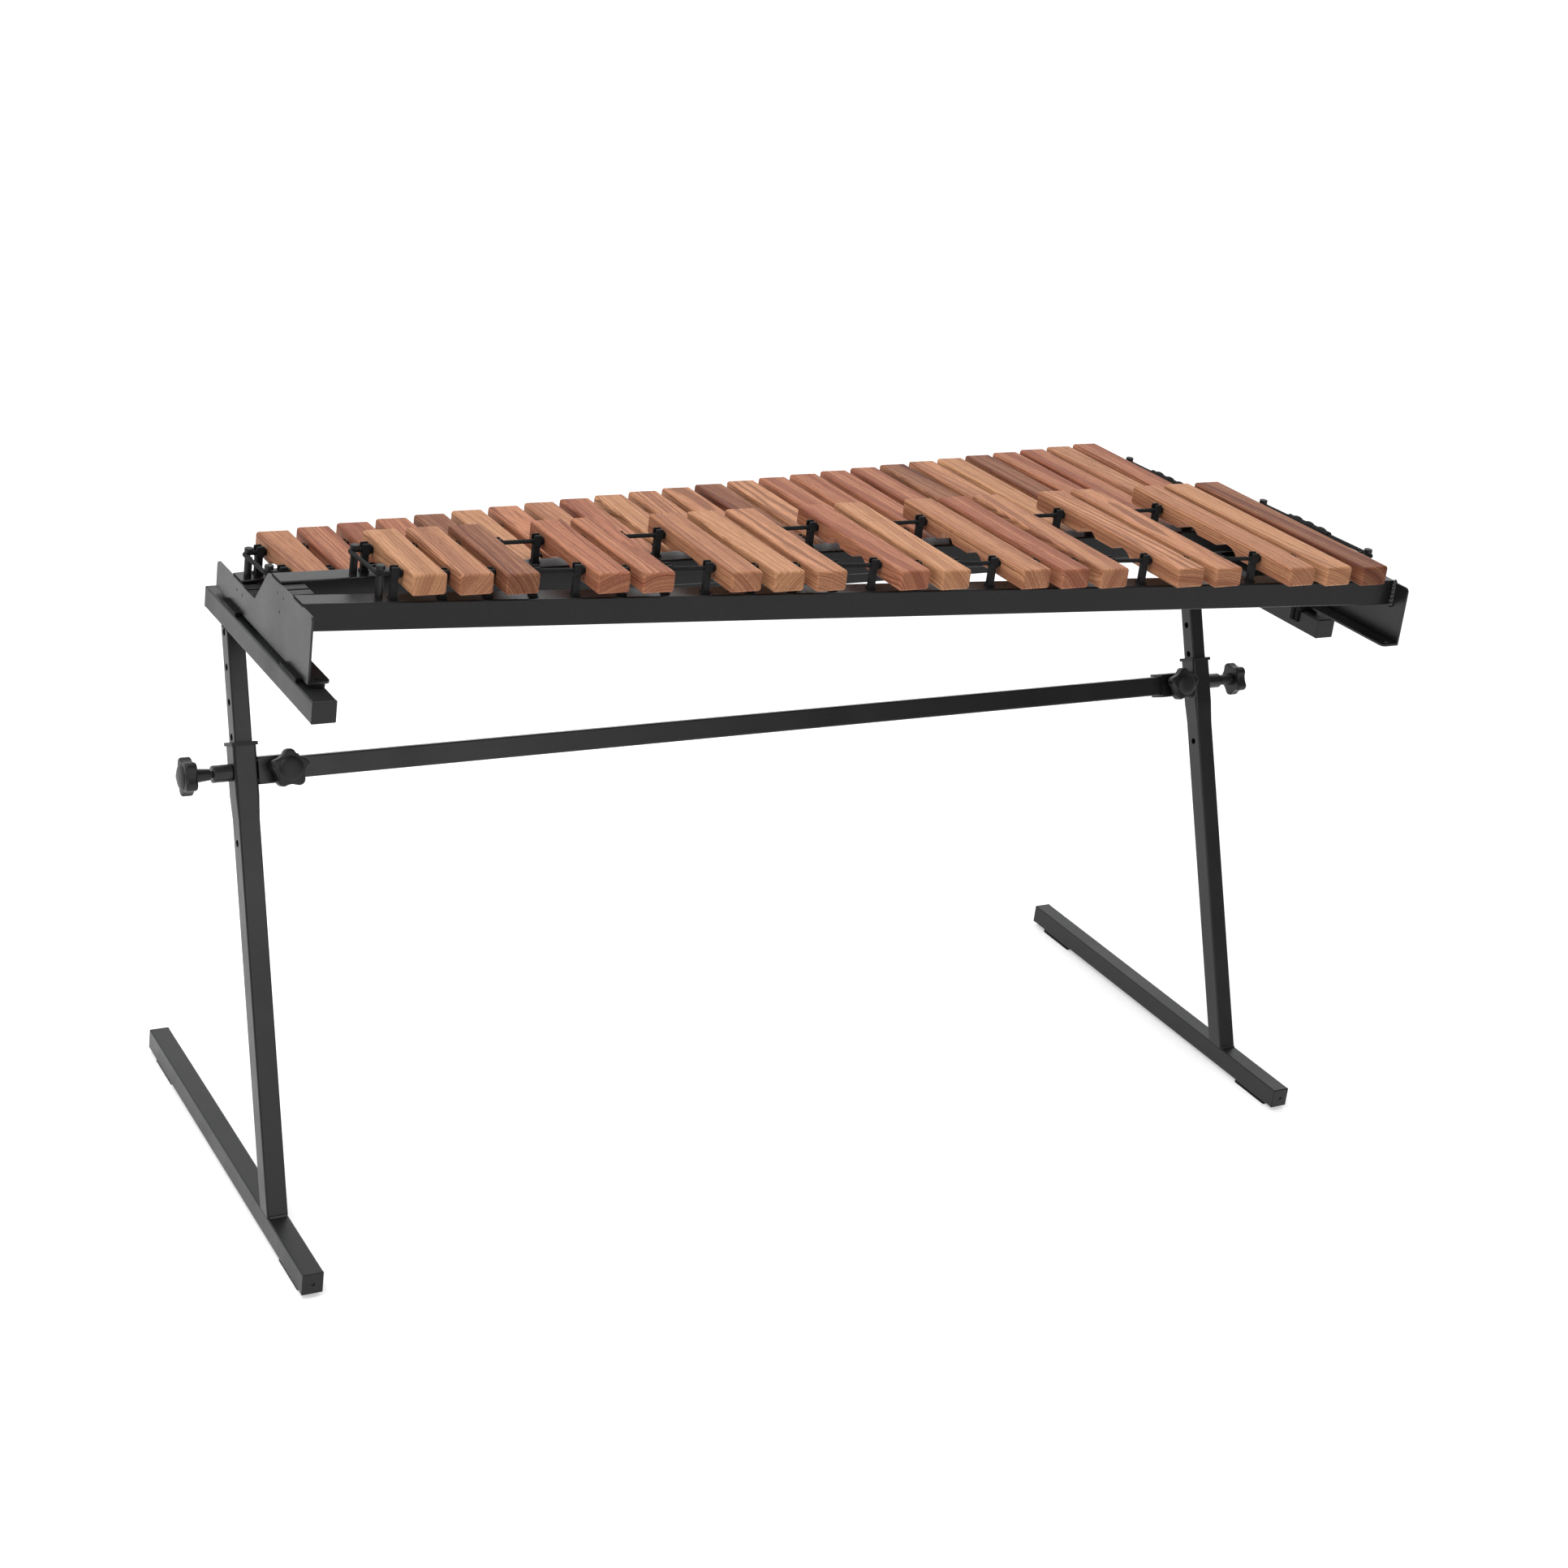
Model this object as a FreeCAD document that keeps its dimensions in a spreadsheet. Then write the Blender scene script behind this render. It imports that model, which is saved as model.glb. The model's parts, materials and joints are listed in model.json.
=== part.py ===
import FreeCAD, Part
import math
import os
import Sketcher
from FreeCAD import Placement, Rotation, Vector

# Xylophone on a height-adjustable stand, 3 1/2 octaves, 44 bars.
# Millimetres, +Z up. X runs along the row of bars from the short (high) bars to the long (low)
# ones, Y points from the player's side of the black-key row to the far side.
# The origin lies on the floor under the middle of the bounding box.

doc = FreeCAD.newDocument("Xylophone")
sheet = doc.addObject("Spreadsheet::Sheet", "Sizes")

SIZES = [
    # stand
    ("leg_span", 1394), ("lean_angle", 22), ("depth_shift", -292.81),
    ("foot_width", 25), ("foot_height", 26), ("foot_length", 580), ("tube_wall", 1.8),
    ("tube_round", 2), ("cap_thickness", 3), ("cap_spigot", 12), ("cap_fit", 0.3), ("cap_dimple", 5),
    ("pad_thickness", 5), ("pad_length", 62), ("pad_width", 21), ("pad_near", 19), ("pad_far", 28),
    ("post_foot_offset", 119.5), ("post_size", 25), ("post_length", 538),
    ("flare_proud", 1.4), ("flare_length", 84), ("flare_taper", 26),
    ("collar_height", 4), ("collar_proud", 1.6),
    ("upper_size", 21), ("upper_wall", 1.8), ("upper_start", 402), ("sight_hole", 427),
    ("hole_pitch", 40), ("hole_count_below", 2), ("hole_count_above", 4), ("hole_width", 8.4),
    ("pin_station", 508), ("boss_radius", 10), ("boss_length", 23), ("bead_radius", 2.4),
    ("crossbar_size", 25), ("crossbar_end_gap", 6), ("left_bracket", 50), ("right_bracket", 59),
    ("bracket_sheet", 3),
    ("knob_inset", 33), ("knob_radius", 23), ("knob_lobe", 7), ("knob_hollow", 17),
    ("knob_thickness", 14), ("edge_round", 1.8), ("knob_round", 2.8), ("knob_dome", 3.6),
    ("knob_dome_radius", 14.8),
    ("knob_hub_long", 18.5), ("knob_hub_short", 4), ("knob_hub_wide", 8.4), ("knob_hub_narrow", 6.6),
    ("stud_radius", 4), ("stud_fit", 0.08), ("neck", 2.8),
    ("arm_bottom", 650), ("arm_width", 28), ("left_arm_shift", 3.5), ("arm_height", 25.5),
    ("arm_near", 90), ("arm_length", 366),
    # frame of the instrument
    ("frame_offset", 9), ("saddle_gap", 5), ("plate_sheet", 2.5), ("plate_high", 757),
    ("plate_low", 713), ("plate_lip", 26), ("plate_round", 6), ("lip_hole", 6),
    ("left_plate_near", 126), ("left_plate_peak", 267.6), ("left_plate_valley", 305.6),
    ("left_plate_far", 438),
    ("right_plate_near", -22), ("right_plate_peak", 257), ("right_plate_valley", 295),
    ("right_plate_far", 604),
    ("rail_width", 30), ("rail_height", 32), ("rail_wall", 1.8), ("high_rail_top", 759),
    ("low_rail_top", 715),
    ("rail_one_start", 177.6), ("rail_one_slope", -0.114),
    ("rail_two_start", 248), ("rail_two_slope", -0.009),
    ("rail_three_start", 303), ("rail_three_slope", 0.026),
    ("rail_four_start", 372), ("rail_four_slope", 0.137),
    ("block_length", 26), ("block_height", 24), ("block_drop", 1), ("block_groove", 1.6),
    ("block_pitch", 18), ("screw_radius", 1.8), ("screw_pitch", 19), ("screw_drop", 19),
    ("high_screw_back", 24), ("low_screw_back", 16), ("screw_below_edge", 10.5),
    ("saddle_length", 50), ("saddle_prong", 16), ("saddle_side", 2),
    ("foot_disc_radius", 9),
    # suspension of the bars
    ("row_post_width", 9.5), ("row_post_depth", 7), ("head_height", 13),
    ("head_depth", 11.5), ("prong_rise", 8), ("short_prong_rise", 5.5), ("low_prong_rise", 4),
    ("post_gap", 0.97), ("bumper_length", 3.2), ("bumper_gap", 3.9), ("bumper_radius", 4.8),
    ("end_post_radius", 4.4), ("end_post_rise", 8.5), ("end_post_cap", 5.2), ("groove_radius", 2),
    ("cord_radius", 2.5), ("near_cord_height", 29), ("far_cord_height", 25.5), ("cord_hole", 3.4),
    ("cord_wrap", 4.6), ("cord_offset", 3.2), ("high_end_post", 98.7),
    ("high_end_post_last", 1364.6), ("low_end_post", 23.3), ("low_end_post_last", 1390),
    ("sleeve_radius", 4.6), ("sleeve_bulge", 6.3), ("sleeve_length", 80), ("sleeve_from_far", 50),
    # bars
    ("bar_width", 40), ("bar_pitch", 51.45), ("bar_thickness", 24), ("bar_lift", 13),
    ("bar_round", 3.4), ("bar_soft", 2), ("natural_first", 46.1), ("accidental_first", 18.4),
    ("natural_near_start", 271), ("natural_near_slope", -0.009),
    ("natural_far_start", 413), ("natural_far_slope", 0.1587),
    ("accidental_near_start", 146.7), ("accidental_near_slope", -0.1422),
    ("accidental_far_start", 282.1), ("accidental_far_slope", 0.0206),
    ("arch_start", 0.31), ("arch_short_depth", 0.3), ("arch_long_depth", 0.5),
    ("arch_bump", 0.2), ("arch_bump_half", 0.06), ("arch_long_from", 225),
]

for row, (name, number) in enumerate(SIZES, start=1):
    sheet.set("A%d" % row, name)
    sheet.set("B%d" % row, str(number))
    sheet.setAlias("B%d" % row, name)
doc.recompute()


def size(name):
    """The number in the sheet's cell of that name."""
    return float(sheet.get(name))


def bind(obj, path, formula):
    """Binds one property of obj to the sheet. Cell names in the formula are written as <name>."""
    obj.setExpression(path, formula.replace("<", "Sizes.").replace(">", ""))


def move(obj, x="0", y="0", z="0"):
    for axis, formula in zip("xyz", (x, y, z)):
        bind(obj, ".Placement.Base.%s" % axis, formula)


def tilt(obj, axis, formula):
    """Turns obj about one axis by an angle in degrees."""
    obj.Placement = Placement(obj.Placement.Base, Rotation(axis, 1))
    bind(obj, ".Placement.Rotation.Angle", "(%s) * 1 deg" % formula)


def box(name, length, width, height, at=("0", "0", "0")):
    obj = doc.addObject("Part::Box", name)
    bind(obj, "Length", length)
    bind(obj, "Width", width)
    bind(obj, "Height", height)
    move(obj, *at)
    return obj


def rod(name, radius, height, at=("0", "0", "0"), along=None):
    """A cylinder; along is the axis to turn about and the angle, where it doesn't stand upright."""
    obj = doc.addObject("Part::Cylinder", name)
    bind(obj, "Radius", radius)
    bind(obj, "Height", height)
    if along:
        obj.Placement = Placement(Vector(), Rotation(*along))
    move(obj, *at)
    return obj


ALONG_X = (Vector(0, 1, 0), 90)
ALONG_Y = (Vector(1, 0, 0), -90)


def cut(name, base, *tools):
    for number, tool in enumerate(tools):
        last = number == len(tools) - 1
        obj = doc.addObject("Part::Cut", name if last else "%s_step_%d" % (name, number + 1))
        obj.Base = base
        obj.Tool = tool
        base = obj
    return base


def fuse(name, *shapes):
    obj = doc.addObject("Part::MultiFuse", name)
    obj.Shapes = list(shapes)
    return obj


def group(name, shapes):
    obj = doc.addObject("Part::Compound", name)
    obj.Links = list(shapes)
    return obj


def rounded(name, base, radius, wanted):
    """Fillets the edges of base that wanted(edge) picks."""
    doc.recompute([base])
    obj = doc.addObject("Part::Fillet", name)
    obj.Base = base
    picked = [i for i, edge in enumerate(base.Shape.Edges, start=1) if wanted(edge)]
    obj.Edges = [(i, size(radius), size(radius)) for i in picked]
    return obj


def straight_along(axis, longer_than=0.0):
    """Picks straight edges that run along the axis."""
    def wanted(edge):
        if not isinstance(edge.Curve, Part.Line) or edge.Length < longer_than:
            return False
        way = edge.Vertexes[1].Point - edge.Vertexes[0].Point
        return abs(abs(way.normalize().dot(axis)) - 1) < 1e-6
    return wanted


finished = []


def finish(obj, name):
    """Names a sub-part and adds it to the list that is written out."""
    obj.Label = name
    finished.append(obj)
    return obj


def square_tube(name, length, width, height, wall, axis):
    """A square tube with rounded outer corners, its corner at the origin, along X, Y or Z."""
    spans = {"X": (length, width, height), "Y": (width, length, height), "Z": (width, height, length)}
    outer = box(name + "_outside", *spans[axis])
    inner_spans = {
        "X": (length + " + 20", width + " - 2 * " + wall, height + " - 2 * " + wall),
        "Y": (width + " - 2 * " + wall, length + " + 20", height + " - 2 * " + wall),
        "Z": (width + " - 2 * " + wall, height + " - 2 * " + wall, length + " + 20"),
    }
    start = {"X": ("-10", wall, wall), "Y": (wall, "-10", wall), "Z": (wall, wall, "-10")}
    inner = box(name + "_inside", *inner_spans[axis], at=start[axis])
    ways = {"X": Vector(1, 0, 0), "Y": Vector(0, 1, 0), "Z": Vector(0, 0, 1)}
    soft = rounded(name + "_rounded", outer, "tube_round", straight_along(ways[axis]))
    return cut(name, soft, inner)


LEFT_X = "-<leg_span> / 2"
RIGHT_X = "<leg_span> / 2 - <foot_width>"
LEG_X = {"left": LEFT_X, "right": RIGHT_X}
FOOT_TOP = "<pad_thickness> + <foot_height>"
POST_Y = "<post_foot_offset> + <depth_shift>"


def on_leg(obj, side):
    """Places a part drawn in the post's own frame: x across, y through and z along the post."""
    tilt(obj, Vector(1, 0, 0), "-<lean_angle>")
    move(obj, LEG_X[side], POST_Y, FOOT_TOP)


def floor_cutter(name, level):
    """A block under the horizontal plane at that height, in the post's own frame."""
    obj = box(name, "200", "400", "120")
    tilt(obj, Vector(1, 0, 0), "<lean_angle>")
    along = "(%s) / cos(<lean_angle> * 1 deg)" % level
    move(obj, "-90", "-(200 * cos(<lean_angle> * 1 deg) - 120 * sin(<lean_angle> * 1 deg))",
         along + " - (200 * sin(<lean_angle> * 1 deg) + 120 * cos(<lean_angle> * 1 deg))")
    return obj


def ceiling_cutter(name, level):
    """A block over the horizontal plane at that height, in the post's own frame."""
    obj = box(name, "200", "400", "400")
    tilt(obj, Vector(1, 0, 0), "<lean_angle>")
    move(obj, "-90", "-(200 * cos(<lean_angle> * 1 deg))",
         "(%s) / cos(<lean_angle> * 1 deg) - 200 * sin(<lean_angle> * 1 deg)" % level)
    return obj


# ---------------------------------------------------------------- stand: feet
pads = []
for side in ("left", "right"):
    foot = square_tube("foot_" + side, "<foot_length> - 2 * <cap_thickness>", "<foot_width>",
                       "<foot_height>", "<tube_wall>", "Y")
    move(foot, LEG_X[side], "<cap_thickness> + <depth_shift>", "<pad_thickness>")
    finish(foot, "foot_" + side)

    for place, start in (("near", "<pad_near>"), ("far", "<foot_length> - <pad_far> - <pad_length>")):
        pad = box("floor_pad_%s_%s_block" % (side, place), "<pad_width>", "<pad_length>", "<pad_thickness>",
                  at=("(<foot_width> - <pad_width>) / 2", start, "0"))
        soft = rounded("floor_pad_%s_%s" % (side, place), pad, "cap_fit", straight_along(Vector(0, 0, 1)))
        move(soft, LEG_X[side], "<depth_shift>", "0")
        pads.append(soft)
finish(group("floor_pads", pads), "floor_pads")


def end_cap(name, width, height, dimple=False):
    """A plug for the end of a tube that runs along Y: a rounded plate and a spigot behind it."""
    plate = box(name + "_plate", width, "<cap_thickness>", height)

    def edges(edge):
        front = all(v.Point.y < 0.01 for v in edge.Vertexes)
        return front or straight_along(Vector(0, 1, 0))(edge)
    soft = rounded(name + "_soft", plate, "flare_proud", edges)
    gap = "<tube_wall> + <cap_fit>"
    spigot = box(name + "_spigot", "%s - 2 * (%s)" % (width, gap), "<cap_spigot>",
                 "%s - 2 * (%s)" % (height, gap), at=(gap, "<cap_thickness>", gap))
    whole = fuse(name + "_whole", soft, spigot)
    if not dimple:
        return whole
    hollow = rod(name + "_dimple", "<cap_dimple> / 2", "1.2", at=(width + " / 2", "-0.2", height + " / 2"),
                 along=ALONG_Y)
    return cut(name, whole, hollow)


def turned_round(obj):
    """Turns a cap round to close a tube's far end."""
    obj.Placement = Placement(Vector(), Rotation(Vector(0, 0, 1), 180))
    return obj


caps = []
for side in ("left", "right"):
    near = end_cap("foot_cap_near_" + side, "<foot_width>", "<foot_height>", dimple=True)
    move(near, LEG_X[side], "<depth_shift>", "<pad_thickness>")
    far = turned_round(end_cap("foot_cap_far_" + side, "<foot_width>", "<foot_height>", dimple=True))
    move(far, LEG_X[side] + " + <foot_width>", "<foot_length> + <depth_shift>", "<pad_thickness>")
    caps += [near, far]
finish(group("foot_end_caps", caps), "foot_end_caps")

# ---------------------------------------------------------------- stand: posts
def round_square(proud, level):
    """The outline of the lower post's tube at one level, that far outside its faces."""
    low, high, radius = -proud, size("post_size") + proud, size("tube_round") + proud
    corners = ((high - radius, high - radius), (low + radius, high - radius),
               (low + radius, low + radius), (high - radius, low + radius))
    edges = []
    last = None
    for k, (x, y) in enumerate(corners):
        points = []
        for part in range(3):
            angle = math.radians(90 * k + 45 * part)
            points.append(Vector(x + radius * math.cos(angle), y + radius * math.sin(angle), level))
        if last is not None:
            edges.append(Part.makeLine(last, points[0]))
        edges.append(Part.Arc(*points).toShape())
        last = points[2]
    edges.append(Part.makeLine(last, edges[0].Vertexes[0].Point))
    return Part.Wire(edges)


for side in ("left", "right"):
    name = "lower_post_" + side
    outside = box(name + "_outside", "<post_size>", "<post_size>", "<post_length> + 40", at=("0", "0", "-40"))
    soft = rounded(name + "_soft", outside, "tube_round", straight_along(Vector(0, 0, 1)))
    flare = doc.addObject("Part::Feature", name + "_flare")
    begin = size("post_length") - size("flare_length")
    sections = [round_square(0.02, begin), round_square(size("flare_proud"), begin + size("flare_taper")),
                round_square(size("flare_proud"), size("post_length"))]
    flare.Shape = Part.makeLoft(sections, True, True)
    joined = fuse(name + "_joined", soft, flare)
    inside = box(name + "_inside", "<post_size> - 2 * <tube_wall>", "<post_size> - 2 * <tube_wall>",
                 "<post_length> + 80", at=("<tube_wall>", "<tube_wall>", "-60"))
    floor = floor_cutter(name + "_floor", "0")
    outer_start = "-10" if side == "left" else "<post_size> / 2"
    pin_hole = rod(name + "_pin_hole", "<hole_width> / 2", "<post_size> / 2 + 10",
                   at=(outer_start, "<post_size> / 2", "<pin_station>"), along=ALONG_X)
    sight = rod(name + "_sight", "<hole_width> / 2", "<post_size> / 2 + 10",
                at=("-10", "<post_size> / 2", "<sight_hole>"), along=ALONG_X)
    post = cut(name, joined, inside, floor, pin_hole, sight)
    on_leg(post, side)
    finish(post, name)

    name = "collar_" + side
    rim = "<flare_proud> + <collar_proud>"
    ring = box(name + "_ring", "<post_size> + 2 * (%s)" % rim, "<post_size> + 2 * (%s)" % rim,
               "<collar_height>", at=("-(%s)" % rim, "-(%s)" % rim, "<post_length>"))
    ring_soft = rounded(name + "_soft", ring, "edge_round", straight_along(Vector(0, 0, 1)))
    opening = box(name + "_opening", "<upper_size> + 0.4", "<upper_size> + 0.4", "<collar_height> + 20",
                  at=("(<post_size> - <upper_size>) / 2 - 0.2", "(<post_size> - <upper_size>) / 2 - 0.2",
                      "<post_length> - 10"))
    collar = cut(name, ring_soft, opening)
    on_leg(collar, side)
    finish(collar, name)

    name = "pin_boss_" + side
    start = "-<flare_proud> - <boss_length>" if side == "left" else "<post_size> + <flare_proud>"
    centre = ("<post_size> / 2", "<pin_station>")
    body = rod(name + "_body", "<boss_radius>", "<boss_length>", at=(start,) + centre, along=ALONG_X)
    soft = rounded(name + "_soft", body, "flare_proud",
                   lambda edge: len(edge.Vertexes) == 1 or isinstance(edge.Curve, Part.Circle))
    bore = rod(name + "_bore", "<stud_radius> + <stud_fit>", "<boss_length> + 20",
               at=("(%s) - 10" % start,) + centre, along=ALONG_X)
    boss = cut(name, soft, bore)
    on_leg(boss, side)
    finish(boss, name)

# Fillet welds in the corners where each post stands on its foot.
beads = []
for side in ("left", "right"):
    for place, start in (("front", "0"), ("back", "<post_size> / cos(<lean_angle> * 1 deg)")):
        name = "post_bead_%s_%s" % (side, place)
        bead = rod(name + "_round", "<bead_radius>", "<post_size> - 4", along=ALONG_X,
                   at=("2", start, "0"))
        under = box(name + "_under", "60", "60", "20", at=("-10", "-30", "-20"))
        shape = cut(name + "_top", bead, under)
        body = box(name + "_post", "60", "<post_size>", "40",
                   at=("-10", "-20 * tan(<lean_angle> * 1 deg)", "-20"))
        tilt(body, Vector(1, 0, 0), "-<lean_angle>")
        ready = cut(name, shape, body)
        move(ready, LEG_X[side], POST_Y, FOOT_TOP)
        beads.append(ready)
finish(group("post_foot_welds", beads), "post_foot_welds")

# ---------------------------------------------------------------- stand: crossbar and its brackets
SHEET = "<bracket_sheet>"
for side in ("left", "right"):
    name = "crossbar_bracket_" + side
    height = "<crossbar_size> + 2 * <bracket_sheet> + 0.6"
    reach = "<%s_bracket>" % side
    start = "<post_size> + <flare_proud>" if side == "left" else "-" + reach
    length = reach + " - <flare_proud>"
    low = "<pin_station> - (%s) / 2" % height
    outside = box(name + "_outside", length, "<crossbar_size>", height, at=(start, "-<bracket_sheet>", low))
    soft = rounded(name + "_soft", outside, "edge_round",
                   lambda edge: straight_along(Vector(1, 0, 0))(edge) and edge.Vertexes[0].Point.y < 0)
    inside = box(name + "_inside", reach + " + 20", "<crossbar_size> + 10",
                 "<crossbar_size> + 0.6",
                 at=("(%s) - 10" % start, "0", "<pin_station> - <crossbar_size> / 2 - 0.3"))
    hole_x = "<post_size> + <knob_inset>" if side == "left" else "-<knob_inset>"
    hole = rod(name + "_hole", "<stud_radius> + <stud_fit>", "30", at=(hole_x, "-15", "<pin_station>"),
               along=ALONG_Y)
    bracket = cut(name, soft, inside, hole)
    on_leg(bracket, side)
    finish(bracket, name)

bar_start = "<post_size> + <crossbar_end_gap>"
tube = square_tube("crossbar_tube", "<leg_span> - 2 * (%s)" % bar_start, "<crossbar_size>",
                   "<crossbar_size>", "<tube_wall>", "X")
holes = []
for side, x in (("left", "<knob_inset> - <crossbar_end_gap>"),
                ("right", "<leg_span> - 2 * (%s) - (<knob_inset> - <crossbar_end_gap>)" % bar_start)):
    holes.append(rod("crossbar_hole_" + side, "<stud_radius> + <stud_fit>", "<crossbar_size> / 2 + 5",
                     at=(x, "-5", "<crossbar_size> / 2"), along=ALONG_Y))
crossbar = cut("crossbar", tube, *holes)
tilt(crossbar, Vector(1, 0, 0), "-<lean_angle>")
middle = "(<pin_station> - <crossbar_size> / 2)"
move(crossbar, LEFT_X + " + " + bar_start,
     POST_Y + " + %s * sin(<lean_angle> * 1 deg)" % middle,
     FOOT_TOP + " + %s * cos(<lean_angle> * 1 deg)" % middle)
finish(crossbar, "crossbar")


# ---------------------------------------------------------------- star knobs
def star_face():
    """The five-lobed outline of a knob: round lobes joined by hollows that meet them smoothly."""
    lobe, hollow, tip = size("knob_lobe"), size("knob_hollow"), size("knob_radius")
    lobe_centre = tip - lobe
    step = math.pi / 5
    across = lobe_centre * math.sin(step)
    hollow_centre = lobe_centre * math.cos(step) + math.sqrt((lobe + hollow) ** 2 - across ** 2)

    def polar(radius, angle):
        return Vector(radius * math.cos(angle), radius * math.sin(angle), 0)
    edges = []
    for k in range(5):
        turn = 2 * step * k + math.pi / 2
        here = polar(lobe_centre, turn)
        before = polar(hollow_centre, turn - step)
        after = polar(hollow_centre, turn + step)
        following = polar(lobe_centre, turn + 2 * step)
        first = here + (before - here).normalize() * lobe
        second = here + (after - here).normalize() * lobe
        third = following + (after - following).normalize() * lobe
        edges.append(Part.Arc(first, polar(tip, turn), second).toShape())
        edges.append(Part.Arc(second, polar(hollow_centre - hollow, turn + step), third).toShape())
    return Part.Face(Part.Wire(edges))


def star_knob(name, hub_length, hub_narrow):
    """A knob whose face looks along +Z, with its hub behind it and the hub's end at the origin."""
    outline = doc.addObject("Part::Feature", name + "_outline")
    outline.Shape = star_face()
    head = doc.addObject("Part::Extrusion", name + "_head")
    head.Base = outline
    head.DirMode = "Custom"
    head.Dir = Vector(0, 0, 1)
    head.Solid = True
    bind(head, "LengthFwd", "<knob_thickness>")
    soft = rounded(name + "_soft", head, "knob_round",
                   lambda edge: abs(edge.Vertexes[0].Point.z - edge.Vertexes[-1].Point.z) < 0.01)
    move(soft, "0", "0", hub_length)
    dome = doc.addObject("Part::Ellipsoid", name + "_dome")
    bind(dome, "Radius1", "<knob_dome>")
    bind(dome, "Radius2", "<knob_dome_radius>")
    bind(dome, "Radius3", "<knob_dome_radius>")
    bind(dome, "Angle1", "0")
    move(dome, "0", "0", hub_length + " + <knob_thickness> - 0.01")
    hub = doc.addObject("Part::Cone", name + "_hub")
    bind(hub, "Radius1", hub_narrow)
    bind(hub, "Radius2", "<knob_hub_wide>")
    bind(hub, "Height", hub_length + " + 0.5")
    whole = fuse(name + "_whole", soft, dome, hub)
    socket = rod(name + "_socket", "<stud_radius>", "8", at=("0", "0", "-0.01"))
    return cut(name, whole, socket)


def facing(obj, side, direction, x, y, z):
    """Places a knob or a stud on the post's frame: its +Z axis is turned to look along direction."""
    lean = Rotation(Vector(1, 0, 0), -size("lean_angle"))
    spot = lean.multVec(Vector(x, y, z))
    leg = {"left": -size("leg_span") / 2, "right": size("leg_span") / 2 - size("foot_width")}[side]
    base = Vector(leg, size("post_foot_offset") + size("depth_shift"),
                  size("pad_thickness") + size("foot_height"))
    turn = Rotation(Vector(0, 0, 1), direction)
    for axis in "xyz":
        obj.setExpression(".Placement.Base." + axis, None)
    obj.Placement = Placement(base + spot, lean.multiply(turn))


for side in ("left", "right"):
    name = "crossbar_knob_" + side
    x = size("post_size") + size("knob_inset") if side == "left" else -size("knob_inset")
    front = -size("bracket_sheet") - size("neck")
    knob = star_knob(name, "<knob_hub_short>", "<knob_hub_narrow> + 1.5")
    facing(knob, side, Vector(0, -1, 0), x, front, size("pin_station"))
    finish(knob, name)
    stud = rod(name + "_stud", "<stud_radius>", "8 + <neck> + <bracket_sheet> + <crossbar_size> / 2",
               at=("0", "0", "0"))
    facing(stud, side, Vector(0, -1, 0), x, size("crossbar_size") / 2, size("pin_station"))
    finish(stud, name + "_stud")

    name = "height_knob_" + side
    out = -1 if side == "left" else 1
    end = size("flare_proud") + size("boss_length") + size("neck")
    x = -end if side == "left" else size("post_size") + end
    knob = star_knob(name, "<knob_hub_long>", "<knob_hub_narrow>")
    facing(knob, side, Vector(out, 0, 0), x, size("post_size") / 2, size("pin_station"))
    finish(knob, name)
    stud = rod(name + "_stud", "<stud_radius>", "8 + <neck> + <boss_length> + <flare_proud> + <tube_wall>")
    tip = size("tube_wall") if side == "left" else size("post_size") - size("tube_wall")
    facing(stud, side, Vector(out, 0, 0), tip, size("post_size") / 2, size("pin_station"))
    finish(stud, name + "_stud")

# ---------------------------------------------------------------- sliding posts and arms
ARM_X = {side: LEG_X[side] + " + (<foot_width> - <arm_width>) / 2" for side in LEG_X}
ARM_X["left"] += " + <left_arm_shift>"

for side in ("left", "right"):
    name = "upper_post_" + side
    inset = "(<post_size> - <upper_size>) / 2"
    outside = box(name + "_outside", "<upper_size>", "<upper_size>", "400",
                  at=(inset, inset, "<upper_start>"))
    soft = rounded(name + "_soft", outside, "edge_round", straight_along(Vector(0, 0, 1)))
    inside = box(name + "_inside", "<upper_size> - 2 * <upper_wall>", "<upper_size> - 2 * <upper_wall>",
                 "440", at=(inset + " + <upper_wall>", inset + " + <upper_wall>", "<upper_start> - 20"))
    ceiling = ceiling_cutter(name + "_ceiling", "<arm_bottom> - (%s)" % FOOT_TOP)
    holes = []
    for k in range(-int(size("hole_count_below")), int(size("hole_count_above")) + 1):
        holes.append(rod("%s_hole_%d" % (name, k + 3), "<hole_width> / 2", "60",
                         at=("-15", "<post_size> / 2", "<pin_station> + %d * <hole_pitch>" % k),
                         along=ALONG_X))
    post = cut(name, soft, inside, ceiling, *holes)
    on_leg(post, side)
    finish(post, name)

    arm = square_tube("arm_" + side, "<arm_length> - 2 * <cap_thickness>", "<arm_width>", "<arm_height>",
                      "<tube_wall>", "Y")
    move(arm, ARM_X[side], "<arm_near> + <cap_thickness> + <depth_shift>", "<arm_bottom>")
    finish(arm, "arm_" + side)

for side in ("left", "right"):
    near = end_cap("arm_cap_near_" + side, "<arm_width>", "<arm_height>")
    move(near, ARM_X[side], "<arm_near> + <depth_shift>", "<arm_bottom>")
    far = turned_round(end_cap("arm_cap_far_" + side, "<arm_width>", "<arm_height>"))
    move(far, ARM_X[side] + " + <arm_width>", "<arm_near> + <arm_length> + <depth_shift>", "<arm_bottom>")
    finish(group("arm_end_caps_" + side, [near, far]), "arm_end_caps_" + side)

# ---------------------------------------------------------------- frame: end plates
FRAME_X = "-<leg_span> / 2"
PLATE_BOTTOM = "<arm_bottom> + <arm_height> + <saddle_gap>"


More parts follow.
